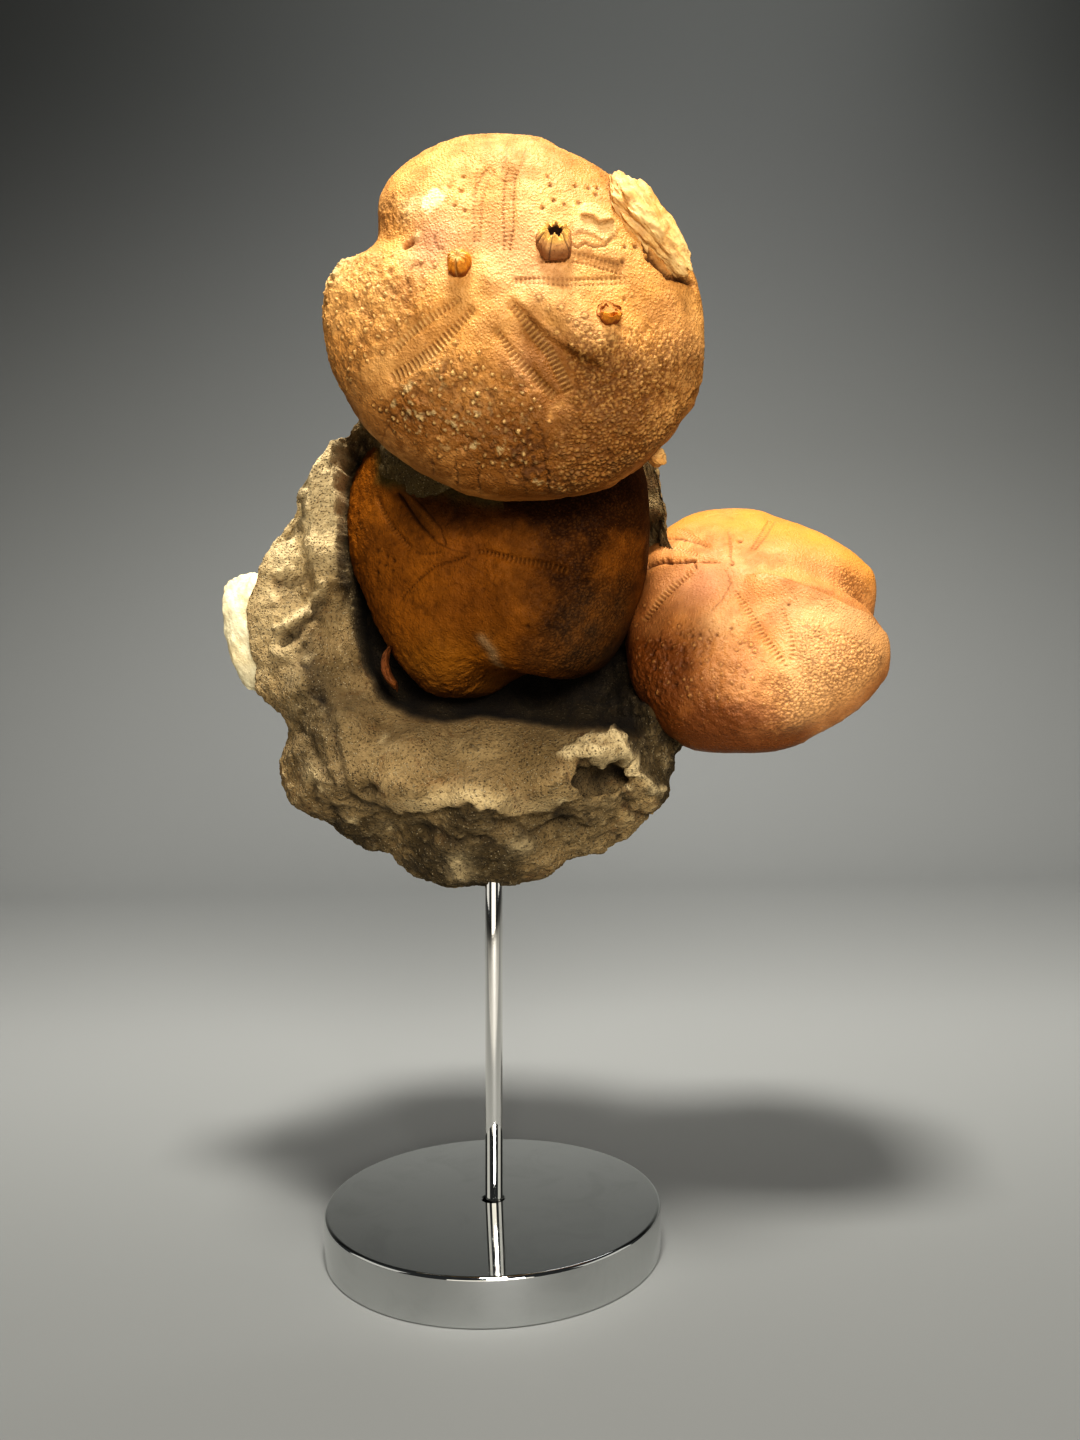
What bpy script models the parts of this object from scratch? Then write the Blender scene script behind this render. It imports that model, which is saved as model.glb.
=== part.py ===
# Three fossil heart urchins cemented in a lump of sandstone, on a chrome rod and round base.
# Working numbers are millimetres, turned into metres as each mesh is made. +Z is up, the
# viewer's side is -Y, and the origin is the middle of the base's underside.
import bpy
import bmesh
import math
from mathutils import Matrix, Vector, noise

mm = 0.001
gap = 0.3                     # clear space between pieces that touch

# ---- driving dimensions -------------------------------------------------------------
disc_radius = 37.5
disc_height = 10.0
disc_top_bevel = 0.8
disc_bottom_bevel = 0.4
socket_depth = 8.0            # blind hole in the disc that takes the rod
rod_radius = 2.0
rod_lean = 1.1                # degrees, toward +X
rod_foot = 2.4                # height of the rod's lower end
rod_top = 96.0                # end of the rod, inside the rock

# Urchins. facing = turn about Z, tilt up, roll of the notch; lobes = (count, cos, sin) of
# the outline; notch = depth share, half width in degrees; apex = offset of the petals' centre.
upper = dict(
    name="upper_urchin", centre=(9.6, -26.0, 198.2), facing=(-4.6, -1.4, 151.0),
    radius=37.0, lobes=((1, 0.018, 0.025), (2, 0.06, 0.0), (3, -0.014, 0.0)),
    notch=(0.158, 14.4), top=18.5, bottom=12.0, apex=(2.6, -0.5), keep=0.1,
    groove=(1.5, 4.0), row_depth=0.55, petal_sink=0.5,
    rows=((3.6, -2.6, 14.5, -19.3, 1.0), (0.4, -4.3, 9.4, -21.8, -1.2),
          (-2.4, -1.8, -22.1, -13.1, -0.5), (-3.5, -7.1, -21.0, -14.1, 1.5),
          (-2.4, 8.6, -20.1, 14.0, -1.0), (-4.0, 2.2, -22.1, 12.3, 0.0),
          (4.1, 4.8, 15.5, 24.3, -0.6), (1.7, 6.1, 11.0, 25.6, 0.4)),
    hollows=((-9.6, 0.7, -25.8, 9.4, 2.4, 1.5),),
    swells=((-9.0, -1.5, -22.6, -1.0, 3.0, 1.0), (31.0, 9.0, 28.0, 18.0, 4.0, 0.9)))

middle = dict(
    name="middle_urchin", centre=(6.0, 11.0, 160.8), facing=(-21.9, -0.5, -84.3),
    radius=37.5, lobes=((1, 0.087, -0.057), (2, 0.036, 0.022), (3, 0.061, -0.014)),
    notch=(0.27, 20.9), top=25.0, bottom=11.2, apex=(6.2, -4.1), keep=0.058,
    groove=(1.8, 6.0), row_depth=0.35, petal_sink=0.3,
    rows=((0.6, 7.0, 7.8, 26.1, 0.5), (3.0, 5.5, 12.5, 22.5, 0.4),
          (3.0, -5.0, 9.0, -14.7, 0.3), (0.6, -5.6, 5.0, -16.5, -0.3),
          (-1.5, -6.5, -16.7, -16.6, 0.8), (-2.5, -4.5, -15.5, -11.5, 0.6),
          (-2.0, 5.5, -16.0, 15.0, -0.6), (-4.0, 3.5, -17.5, 11.0, -0.4)),
    hollows=((-14.7, -10.4, -4.3, -3.3, 0.9, 0.5),),
    swells=((6.0, 13.0, 22.0, 16.0, 6.0, 0.8),))

side = dict(
    name="side_urchin", centre=(63.2, 8.0, 138.0), facing=(-17.2, 38.4, 1.7),
    radius=32.3, lobes=((1, -0.042, -0.028), (2, -0.032, -0.055), (3, 0.053, 0.006)),
    notch=(0.157, 18.6), top=18.7, bottom=11.0, apex=(-4.1, 1.2), keep=0.058,
    groove=(2.0, 5.0), row_depth=0.4, petal_sink=0.3,
    rows=((1.7, -7.4, 11.6, -24.7, -0.7), (9.5, -7.8, 13.1, -24.6, 2.1),
          (-7.4, 0.3, -18.8, -8.5, 0.0), (-4.5, -3.5, -15.0, -14.0, 0.5),
          (0.2, 3.0, -1.0, 14.0, 0.5), (5.0, 5.0, 9.0, 20.0, -1.0),
          (-6.5, 4.5, -18.0, 12.0, -0.6), (-4.0, 6.5, -13.0, 18.0, 0.6)),
    hollows=((-18.9, 6.6, -4.0, 2.6, 0.9, 0.5),),
    swells=((7.0, -5.5, 29.0, -10.0, 3.0, 0.9),))

# Rock: outline seen from the front (x, z), then how far each place stands out (x, z, y).
rock_centre = (-3.0, 134.0)
rock_edge_y = 5.0
rock_outline = ((-27, 188), (-34, 178), (-41, 169), (-44, 164), (-50, 155), (-53, 148),
                (-54, 137), (-52, 128), (-47, 120), (-45, 114), (-47, 108), (-46, 102),
                (-45, 98), (-34, 93), (-22, 88), (-9, 80), (4, 79), (18, 84), (31, 90),
                (41, 98), (44, 108), (47, 116), (51, 124), (54, 135), (52, 147), (43, 158),
                (41, 166), (41, 174), (36, 190), (26, 202), (8, 209), (-8, 207), (-20, 199))
rock_front = ((-34, 184, 8), (-41, 172, 8), (-45, 157, 4), (-49, 146, 4), (-43, 140, 0),
              (-50, 128, 4), (-42, 124, -6), (-32, 116, -15), (-42, 106, -9),
              (-38, 152, 14), (-37, 165, 14), (-34, 140, 9), (-29, 129, 6), (-31, 176, 10),
              (-30, 102, -19), (-16, 103, -26), (0, 101, -28), (16, 103, -26),
              (25, 112, -26), (30, 114, -25), (35, 103, -16), (34, 93, -5),
              (36, 117, -9), (41, 108, -6), (-17, 112, -17), (-2, 112, -15),
              (13, 112, -18), (-19, 119, -3), (-3, 117, -3), (13, 117, -4), (25, 118, -9),
              (-19, 125, 10), (-3, 123, 10), (13, 123, 10), (27, 124, 6),
              (-18, 91, -15), (0, 88, -15), (16, 90, -13), (-30, 94, -10),
              (0, 145, 16), (20, 145, 16), (-20, 145, 14), (42, 167, 13), (44, 140, 12),
              (-25, 166, 12), (-28, 181, -2), (-20, 176, -9), (-10, 170, -18),
              (4, 169, -19), (12, 171, -16), (20, 172, 2), (5, 160, 12), (-10, 160, 12),
              (0, 196, -26), (-16, 192, -20), (18, 194, -24), (0, 184, -22),
              (31, 180, 4))
rock_back = ((0, 88, 22), (-30, 100, 22), (30, 100, 23), (0, 118, 34), (-40, 138, 26),
             (40, 135, 28), (0, 145, 40), (-30, 168, 53), (26, 160, 40), (0, 180, 42),
             (-24, 190, 44), (26, 188, 30), (0, 200, 28), (-38, 152, 44))
rock_keep = 0.074


# ---- small helpers ------------------------------------------------------------------
def clear_scene():
    for item in list(bpy.data.objects):
        bpy.data.objects.remove(item, do_unlink=True)


def make_material(name, colour, roughness, metallic=0.0):
    material = bpy.data.materials.new(name)
    material.use_nodes = True
    shader = material.node_tree.nodes["Principled BSDF"]
    shader.inputs["Base Color"].default_value = (*colour, 1.0)
    shader.inputs["Roughness"].default_value = roughness
    shader.inputs["Metallic"].default_value = metallic
    material.diffuse_color = (*colour, 1.0)
    return material


def add_object(name, bm, material, matrix=None):
    bmesh.ops.recalc_face_normals(bm, faces=bm.faces[:])
    mesh = bpy.data.meshes.new(name)
    bm.to_mesh(mesh)
    bm.free()
    mesh.shade_smooth()
    obj = bpy.data.objects.new(name, mesh)
    if material:
        mesh.materials.append(material)
    if matrix:
        obj.matrix_world = matrix
    bpy.context.scene.collection.objects.link(obj)
    return obj


def add_decimate(obj, share):
    modifier = obj.modifiers.new("fewer faces", "DECIMATE")
    modifier.ratio = share
    modifier.use_collapse_triangulate = True


def add_grow(obj, distance):
    modifier = obj.modifiers.new("clearance", "DISPLACE")
    modifier.mid_level = 0.0
    modifier.strength = distance * mm


def make_cutter(obj, distance=gap):
    """A hidden copy of a piece, grown by the gap, used to clear room for it."""
    cutter = obj.copy()
    cutter.name = obj.name + "_cutter"
    bpy.context.scene.collection.objects.link(cutter)
    add_grow(cutter, distance)
    cutter.hide_render = True
    cutter.display_type = "WIRE"
    return cutter


def cut_with(obj, cutter):
    modifier = obj.modifiers.new("cut " + cutter.name, "BOOLEAN")
    modifier.operation = "DIFFERENCE"
    modifier.solver = "EXACT"
    modifier.object = cutter


def smooth_step(low, high, value):
    share = min(max((value - low) / (high - low), 0.0), 1.0)
    return share * share * (3.0 - 2.0 * share)


def turn_distance(a, b):
    return abs((a - b + math.pi) % (2.0 * math.pi) - math.pi)


def line_distance(x, y, x0, y0, x1, y1, bow=0.0):
    """Distance from a gently bowed line, and how far along it the nearest place is."""
    dx, dy = x1 - x0, y1 - y0
    length = math.hypot(dx, dy)
    along = ((x - x0) * dx + (y - y0) * dy) / (length * length)
    share = min(max(along, 0.0), 1.0)
    bend = bow * 4.0 * share * (1.0 - share)
    px = x0 + dx * share - dy / length * bend
    py = y0 + dy * share + dx / length * bend
    return math.hypot(x - px, y - py), along


# ---- urchins ------------------------------------------------------------------------
def urchin_outline(spec, angle, notch_share):
    swell = sum(c * math.cos(k * angle) + s * math.sin(k * angle) for k, c, s in spec["lobes"])
    depth, width = spec["notch"]
    bite = depth * math.exp(-(turn_distance(angle, 0.0) / math.radians(width)) ** 2)
    return spec["radius"] * (1.0 + swell) * (1.0 - bite * notch_share)


def urchin_surface(spec, direction):
    """Where the test lies along a direction from its middle: a domed top, a flatter base."""
    angle = math.atan2(direction.y, direction.x)
    flat = math.hypot(direction.x, direction.y)
    on_top = direction.z >= 0.0
    power = 2.3 if on_top else 2.6
    reach = flat ** (2.0 / power)
    rise = abs(direction.z) ** (2.0 / power)
    ring = urchin_outline(spec, angle, reach * reach)
    pull = 1.0 - reach * reach if on_top else 0.0
    return Vector((spec["apex"][0] * pull + ring * reach * math.cos(angle),
                   spec["apex"][1] * pull + ring * reach * math.sin(angle),
                   rise * (spec["top"] if on_top else -spec["bottom"])))


def top_relief(spec, point):
    """Grooves, petals, ridges and hollows of the upper side, as millimetres outward."""
    x, y = point.x - spec["apex"][0], point.y - spec["apex"][1]
    radius = spec["radius"]
    height = 0.0
    depth, width = spec["groove"]
    if x > 0.0:
        far = smooth_step(0.05, 0.75, x / radius)
        height -= depth * far * math.exp(-(y / (width * (0.6 + 0.4 * far))) ** 2)
    rows = spec["rows"]
    for index in range(0, len(rows), 2):
        one, other = rows[index], rows[index + 1]
        middle_line = [(a + b) / 2.0 for a, b in zip(one, other)]
        away, along = line_distance(x, y, *middle_line)
        inside = smooth_step(-0.1, 0.15, along) * (1.0 - smooth_step(0.9, 1.15, along))
        height -= spec["petal_sink"] * inside * math.exp(-(away / 3.2) ** 2)
        for row in (one, other):
            away, along = line_distance(x, y, *row)
            inside = smooth_step(-0.05, 0.1, along) * (1.0 - smooth_step(0.9, 1.05, along))
            height -= spec["row_depth"] * inside * math.exp(-(away / 0.95) ** 2)
    for sign, lines in ((-1.0, spec["hollows"]), (1.0, spec["swells"])):
        for x0, y0, x1, y1, wide, tall in lines:
            away, along = line_distance(x, y, x0, y0, x1, y1)
            height += sign * tall * math.exp(-(away / wide) ** 2)
    height += 0.5 * math.exp(-(x * x + y * y) / 4.0)          # the small raised apical disc
    return height


def base_relief(spec, point):
    """Mouth, lip, raised plastron and bare paths of the underside."""
    radius = spec["radius"]
    x, y = point.x / radius, point.y / radius
    mouth = math.exp(-(((x - 0.42) / 0.09) ** 2 + (y / 0.15) ** 2))
    lip = math.exp(-(((x - 0.30) / 0.06) ** 2 + (y / 0.16) ** 2))
    plastron = math.exp(-(((x + 0.25) / 0.42) ** 2 + (y / 0.22) ** 2))
    paths = math.exp(-((abs(y) - 0.38) / 0.10) ** 2) * smooth_step(0.5, 0.1, abs(x + 0.1))
    return 1.3 * plastron + 1.0 * lip - 2.4 * mouth - 0.7 * paths


def urchin_point(spec, direction):
    point = urchin_surface(spec, direction)
    step = 0.01
    side_a = direction.orthogonal().normalized()
    side_b = direction.cross(side_a)
    along_a = urchin_surface(spec, (direction + side_a * step).normalized()) - point
    along_b = urchin_surface(spec, (direction + side_b * step).normalized()) - point
    normal = along_a.cross(along_b).normalized()
    top = smooth_step(-0.05, 0.25, direction.z)
    base = smooth_step(0.1, -0.2, direction.z)
    height = top * top_relief(spec, point) + base * base_relief(spec, point)
    vent = Vector((-math.cos(math.radians(8)), 0.0, -math.sin(math.radians(8))))
    height -= 1.6 * math.exp(-(direction.angle(vent) / 0.11) ** 2)   # periproct at the rear
    wander = noise.fractal(point * 0.06 + Vector((spec["radius"], 0, 0)), 1.0, 2.0, 3)
    return point + normal * (height + 0.45 * wander), normal


def urchin_frame(spec):
    """World axes of an urchin: X to its notch, Z out of its petals."""
    turn, tilt, roll = (math.radians(value) for value in spec["facing"])
    z_axis = Vector((math.cos(tilt) * math.sin(turn), -math.cos(tilt) * math.cos(turn),
                     math.sin(tilt)))
    right = Vector((math.cos(turn), math.sin(turn), 0.0))
    x_axis = math.cos(roll) * right + math.sin(roll) * z_axis.cross(right)
    rotation = Matrix((x_axis, z_axis.cross(x_axis), z_axis)).transposed().to_4x4()
    return Matrix.Translation(Vector(spec["centre"]) * mm) @ rotation


def build_urchin(spec, material):
    bm = bmesh.new()
    bmesh.ops.create_icosphere(bm, subdivisions=6, radius=1.0)
    for vert in bm.verts:
        vert.co = urchin_point(spec, vert.co.normalized())[0] * mm
    obj = add_object(spec["name"], bm, material, urchin_frame(spec))
    add_decimate(obj, spec["keep"])
    return obj


def seat_on(spec, angle, lean_from_apex, upward=0.0, sink=0.0, spin=0.0):
    """A frame standing on an urchin at the given angles, its Z out of the shell."""
    around, down = math.radians(angle), math.radians(lean_from_apex)
    direction = Vector((math.sin(down) * math.cos(around), math.sin(down) * math.sin(around),
                        math.cos(down)))
    point, normal = urchin_point(spec, direction)
    frame = urchin_frame(spec)
    out = (frame.to_3x3() @ normal).normalized()
    place = frame @ (point * mm)
    z_axis = (out + Vector((0, 0, upward))).normalized()
    x_axis = Vector((0, 0, 1)).cross(z_axis).normalized()
    rotation = Matrix((x_axis, z_axis.cross(x_axis), z_axis)).transposed().to_4x4()
    move = Matrix.Translation(place - out * sink * mm)
    return move @ rotation @ Matrix.Rotation(math.radians(spin), 4, "Z")


# ---- rock ---------------------------------------------------------------------------
def outline_reach(points, centre, angle):
    polar = sorted((math.atan2(z - centre[1], x - centre[0]),
                    math.hypot(x - centre[0], z - centre[1])) for x, z in points)
    polar = [(polar[-1][0] - 2 * math.pi, polar[-1][1])] + polar
    polar.append((polar[1][0] + 2 * math.pi, polar[1][1]))
    for (low, reach_low), (high, reach_high) in zip(polar, polar[1:]):
        if low <= angle <= high:
            share = (angle - low) / (high - low)
            return reach_low + (reach_high - reach_low) * share
    return polar[0][1]


def nearby_depth(places, x, z, spread):
    total = weight_sum = 0.0
    for px, pz, py in places:
        weight = 1.0 / ((x - px) ** 2 + (z - pz) ** 2 + spread) ** 2
        total += weight * py
        weight_sum += weight
    return total / weight_sum


def rock_point(direction):
    angle = math.atan2(direction.z, direction.x)
    flat = math.hypot(direction.x, direction.z)
    reach = min(flat, 1.0) ** 0.8
    ring = outline_reach(rock_outline, rock_centre, angle) * reach
    x, z = rock_centre[0] + ring * math.cos(angle), rock_centre[1] + ring * math.sin(angle)
    places = rock_front if direction.y < 0.0 else rock_back
    face = nearby_depth(places, x, z, 24.0 if direction.y < 0.0 else 60.0)
    fullness = (1.0 - reach ** 3.5) ** 0.6
    y = rock_edge_y + (face - rock_edge_y) * fullness
    if direction.y < 0.0:                      # dark rectangular pit under the right ledge
        y += 4.5 * smooth_step(6.5, 4.5, abs(x - 26.5)) * smooth_step(4.2, 2.6, abs(z - 105.5))
    point = Vector((x, y, z))
    bowl = smooth_step(98, 104, z) * smooth_step(128, 122, z) * smooth_step(36, 28, abs(x))
    rough = 1.0 - 0.8 * bowl * (direction.y < 0.0)
    lumps = noise.fractal(point * 0.07, 0.8, 2.1, 5)
    creases = noise.turbulence(point * 0.11, 2, True) - 0.5
    push = rough * (1.5 * lumps + 1.0 * creases)
    return point + direction.normalized() * push


def build_rock(material):
    bm = bmesh.new()
    bmesh.ops.create_icosphere(bm, subdivisions=6, radius=1.0)
    for vert in bm.verts:
        vert.co = rock_point(vert.co.normalized()) * mm
    obj = add_object("matrix_rock", bm, material)
    weather = obj.modifiers.new("weathered", "SMOOTH")
    weather.factor = 0.5
    weather.iterations = 5
    add_decimate(obj, rock_keep)
    return obj


# ---- small pieces -------------------------------------------------------------------
def turned_shell(name, profile, material, matrix, sides=14, wobble=0.0, low_side=0.0):
    """A turned body from (radius, height) pairs, its wall ribbed and cut low on one side."""
    bm = bmesh.new()
    rings = []
    for radius, height in profile:
        ring = []
        for index in range(sides):
            angle = 2 * math.pi * index / sides
            grow = 1.0 + wobble * math.sin(5 * angle + 1.0) + 0.5 * wobble * math.sin(3 * angle)
            drop = low_side * 0.5 * (1 + math.cos(angle)) * smooth_step(0.0, 3.0, height)
            ring.append(bm.verts.new((radius * grow * math.cos(angle) * mm,
                                      radius * grow * math.sin(angle) * mm,
                                      (height - drop) * mm)))
        rings.append(ring)
    for lower, upper_ring in zip(rings, rings[1:]):
        for index in range(sides):
            after = (index + 1) % sides
            bm.faces.new((lower[index], lower[after], upper_ring[after], upper_ring[index]))
    for ring, height in ((rings[0], profile[0][1]), (rings[-1], profile[-1][1])):
        drop = low_side * 0.5 * smooth_step(0.0, 3.0, height)
        pole = bm.verts.new((0, 0, (height - drop) * mm))
        for index in range(sides):
            bm.faces.new((ring[index], ring[(index + 1) % sides], pole))
    return add_object(name, bm, material, matrix)


def lumpy_pebble(name, size, material, matrix, seed, rough, detail=3):
    """A worn fragment: a stretched ball pushed about by soft noise."""
    bm = bmesh.new()
    bmesh.ops.create_icosphere(bm, subdivisions=detail, radius=1.0)
    for vert in bm.verts:
        direction = vert.co.normalized()
        swell = 1.0 + rough * noise.fractal(direction * 1.6 + Vector((seed, 0, 0)), 0.9, 2.0, 4)
        boxy = sum(abs(value) ** 2.8 for value in direction) ** (-1 / 2.8)
        vert.co = Vector(value * reach * mm * swell * boxy
                         for value, reach in zip(direction, size))
    return add_object(name, bm, material, matrix)


def build_disc(material):
    profile = ((disc_radius - disc_bottom_bevel, 0.0), (disc_radius, disc_bottom_bevel),
               (disc_radius, disc_height - disc_top_bevel),
               (disc_radius - 0.3 * disc_top_bevel, disc_height - 0.3 * disc_top_bevel),
               (disc_radius - disc_top_bevel, disc_height),
               (rod_radius + 0.7, disc_height), (rod_radius + 0.4, disc_height - 0.3),
               (rod_radius + 0.4, disc_height - socket_depth))
    obj = turned_shell("base_disc", profile, material, None, sides=44)
    obj.data.set_sharp_from_angle(angle=math.radians(28))
    return obj


def build_rod(material):
    bm = bmesh.new()
    length = rod_top - rod_foot
    bmesh.ops.create_cone(bm, cap_ends=True, segments=20, radius1=rod_radius * mm,
                          radius2=rod_radius * mm, depth=length * mm)
    tilt = Matrix.Rotation(math.radians(rod_lean), 4, "Y")
    middle_point = tilt @ Vector((0, 0, (rod_foot + length / 2) * mm))
    obj = add_object("rod", bm, material, Matrix.Translation(middle_point) @ tilt)
    obj.data.set_sharp_from_angle(angle=math.radians(40))
    return obj


# ---- assembly -----------------------------------------------------------------------
def main():
    clear_scene()
    chrome = make_material("polished_chrome", (0.78, 0.79, 0.78), 0.06, 1.0)
    tan_shell = make_material("orange_fossil_shell", (0.62, 0.36, 0.16), 0.62)
    brown_shell = make_material("brown_fossil_shell", (0.32, 0.15, 0.06), 0.5)
    bright_shell = make_material("bright_orange_fossil_shell", (0.64, 0.31, 0.11), 0.6)
    sandstone = make_material("grey_brown_sandstone", (0.34, 0.28, 0.18), 0.85)
    cream = make_material("cream_shell", (0.82, 0.74, 0.54), 0.7)
    rust = make_material("rusty_barnacle", (0.45, 0.2, 0.06), 0.7)
    grey_wall = make_material("grey_brown_barnacle", (0.40, 0.29, 0.15), 0.75)

    build_disc(chrome)
    rod = build_rod(chrome)
    upper_obj = build_urchin(upper, tan_shell)
    middle_obj = build_urchin(middle, brown_shell)
    side_obj = build_urchin(side, bright_shell)
    rock = build_rock(sandstone)
    upper_cutter = make_cutter(upper_obj)

    place = Matrix.Translation(Vector((-52.0, 13.0, 138.6)) * mm)
    place = place @ Matrix.Rotation(math.radians(-16), 4, "Y")
    pale = lumpy_pebble("pale_shell", (8.2, 6.5, 14.6), cream, place, 4.0, 0.16)

    middle_cutter = make_cutter(middle_obj)
    place = Matrix.Translation(Vector((-22.6, 6.5, 129.5)) * mm)
    place = place @ Matrix.Rotation(math.radians(-14), 4, "Y")
    shard = lumpy_pebble("test_shard", (1.9, 3.4, 5.4), brown_shell, place, 6.0, 0.3, 2)
    cut_with(shard, middle_cutter)

    for cutter in (upper_cutter, middle_cutter, make_cutter(side_obj),
                   make_cutter(pale), make_cutter(shard), make_cutter(rod, 0.4)):
        cut_with(rock, cutter)

    volcano = ((3.5, -1.6), (3.3, 0.6), (2.7, 2.6), (2.0, 4.2), (1.5, 4.3), (1.1, 2.2))
    dome = ((2.1, -1.4), (2.3, 0.4), (2.1, 2.0), (1.4, 3.1), (0.6, 3.5))
    broken = ((2.9, -1.4), (3.1, 0.4), (2.9, 2.2), (2.2, 3.4), (1.6, 3.0), (1.3, 1.0))
    small_parts = (
        turned_shell("barnacle_large", volcano, grey_wall,
                     seat_on(upper, -115, 20, 0.45, spin=20), 14, 0.06),
        turned_shell("barnacle_small", dome, rust,
                     seat_on(upper, 1, 9, 0.5, spin=0), 12, 0.05),
        turned_shell("barnacle_broken", broken, rust,
                     seat_on(upper, -166, 30, 0.3, spin=100), 12, 0.08, 2.4),
        lumpy_pebble("shell_fragment", (6.6, 12.5, 3.2), cream,
                     seat_on(upper, -126, 64, 0.0, sink=0.0, spin=30), 9.0, 0.22),
        lumpy_pebble("rim_chip", (2.2, 1.6, 2.6), cream,
                     seat_on(upper, 164, 96, 0.0, sink=0.0), 2.0, 0.2, 2))
    for small in small_parts:
        cut_with(small, upper_cutter)


main()
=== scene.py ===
import math

import bmesh
import bpy
import numpy as np
from mathutils import Matrix, Vector, kdtree, noise


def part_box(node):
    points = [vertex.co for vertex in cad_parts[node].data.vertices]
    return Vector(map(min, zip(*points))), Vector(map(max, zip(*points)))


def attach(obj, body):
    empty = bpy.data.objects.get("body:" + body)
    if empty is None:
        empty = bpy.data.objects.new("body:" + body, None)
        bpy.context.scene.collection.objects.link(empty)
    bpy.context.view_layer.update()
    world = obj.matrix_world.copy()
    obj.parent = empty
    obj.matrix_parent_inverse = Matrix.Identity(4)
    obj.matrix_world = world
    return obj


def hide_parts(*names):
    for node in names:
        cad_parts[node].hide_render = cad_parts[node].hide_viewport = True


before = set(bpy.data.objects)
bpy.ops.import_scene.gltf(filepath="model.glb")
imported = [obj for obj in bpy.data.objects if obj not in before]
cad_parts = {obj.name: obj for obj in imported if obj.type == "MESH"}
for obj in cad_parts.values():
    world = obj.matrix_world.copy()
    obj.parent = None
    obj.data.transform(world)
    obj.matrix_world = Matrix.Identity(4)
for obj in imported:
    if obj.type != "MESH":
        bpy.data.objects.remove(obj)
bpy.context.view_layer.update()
mm = 0.001
print("frame loaded:", sorted(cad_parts))


# ---- numbers on arrays of points (millimetres) ----
def smoothStep(low, high, value):
    share = np.clip((value - low) / (high - low), 0.0, 1.0)
    return share * share * (3.0 - 2.0 * share)


def bump(distance, width):
    return np.exp(-(distance / width) ** 2)


def roundMark(x, y, centreX, centreY, width):
    return bump(np.hypot(x - centreX, y - centreY), width)


def unit(vectors):
    return vectors / np.linalg.norm(vectors, axis=1)[:, None]


def dome(distance, radius):
    return np.sqrt(np.clip(1.0 - (distance / radius) ** 2, 0.0, 1.0))


def turnDistance(a, b):
    return np.abs((a - b + np.pi) % (2 * np.pi) - np.pi)


def hashCells(cells, seed):
    # one random number in 0..1 for each whole-number cell
    x, y, z = (cells[..., k].astype(np.int64) for k in range(3))
    mixed = (x * 374761393 + y * 668265263 + z * 2147483647 + seed * 974634777) & 0xFFFFFFFF
    mixed = ((mixed ^ (mixed >> 13)) * 1274126177) & 0xFFFFFFFF
    mixed = ((mixed ^ (mixed >> 16)) * 2246822519) & 0xFFFFFFFF
    return ((mixed ^ (mixed >> 15)) & 0xFFFFFF) / float(0xFFFFFF)


def softNoise(points, seed=0):
    base = np.floor(points)
    part = points - base
    part = part * part * part * (part * (part * 6 - 15) + 10)
    total = np.zeros(len(points))
    for dx in (0, 1):
        for dy in (0, 1):
            for dz in (0, 1):
                value = hashCells(base + np.array((dx, dy, dz)), seed)
                weight = ((part[:, 0] if dx else 1 - part[:, 0])
                          * (part[:, 1] if dy else 1 - part[:, 1])
                          * (part[:, 2] if dz else 1 - part[:, 2]))
                total += value * weight
    return total * 2.0 - 1.0


def layeredNoise(points, octaves=4, gain=0.5, seed=0):
    total, size, reach = np.zeros(len(points)), 1.0, 0.0
    for octave in range(octaves):
        total += size * softNoise(points * 2.03 ** octave + 17.3 * octave, seed + octave)
        reach += size
        size *= gain
    return total / reach


def cellNoise(points, seed=0):
    # distance to the nearest and second nearest scattered point, and the nearest one's own number
    base = np.floor(points)
    first = np.full(len(points), 9.0)
    second = np.full(len(points), 9.0)
    own = np.zeros(len(points))
    for dx in (-1, 0, 1):
        for dy in (-1, 0, 1):
            for dz in (-1, 0, 1):
                cell = base + np.array((dx, dy, dz))
                spot = cell + np.stack([hashCells(cell, seed + k) for k in (1, 2, 3)], -1)
                away = np.sqrt(((points - spot) ** 2).sum(-1))
                nearer = away < first
                second = np.where(nearer, first, np.minimum(second, away))
                own = np.where(nearer, hashCells(cell, seed + 4), own)
                first = np.where(nearer, away, first)
    return first, second, own


def straightLine(x, y, x0, y0, x1, y1):
    # distance from a straight line, share along it
    dx, dy = x1 - x0, y1 - y0
    length = math.hypot(dx, dy)
    along = ((x - x0) * dx + (y - y0) * dy) / (length * length)
    share = np.clip(along, 0.0, 1.0)
    return np.hypot(x - (x0 + dx * share), y - (y0 + dy * share)), along


def chainLine(x, y, corners):
    # distance from a line through corners, length along it, side of it, whole length
    best, where, side = np.full(len(x), 1e9), np.zeros(len(x)), np.zeros(len(x))
    start = 0.0
    for (x0, y0), (x1, y1) in zip(corners, corners[1:]):
        dx, dy = x1 - x0, y1 - y0
        size = math.hypot(dx, dy)
        share = np.clip(((x - x0) * dx + (y - y0) * dy) / (size * size), 0, 1)
        ax, ay = x - x0 - dx * share, y - y0 - dy * share
        away = np.hypot(ax, ay)
        nearer = away < best
        best = np.where(nearer, away, best)
        where = np.where(nearer, start + share * size, where)
        side = np.where(nearer, np.sign(dx * ay - dy * ax) * away, side)
        start += size
    return best, where, side, start


def lineMark(x, y, corners, width):
    # 1 on a line through corners, fading out over its width
    return bump(chainLine(x, y, corners)[0], width)


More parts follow.
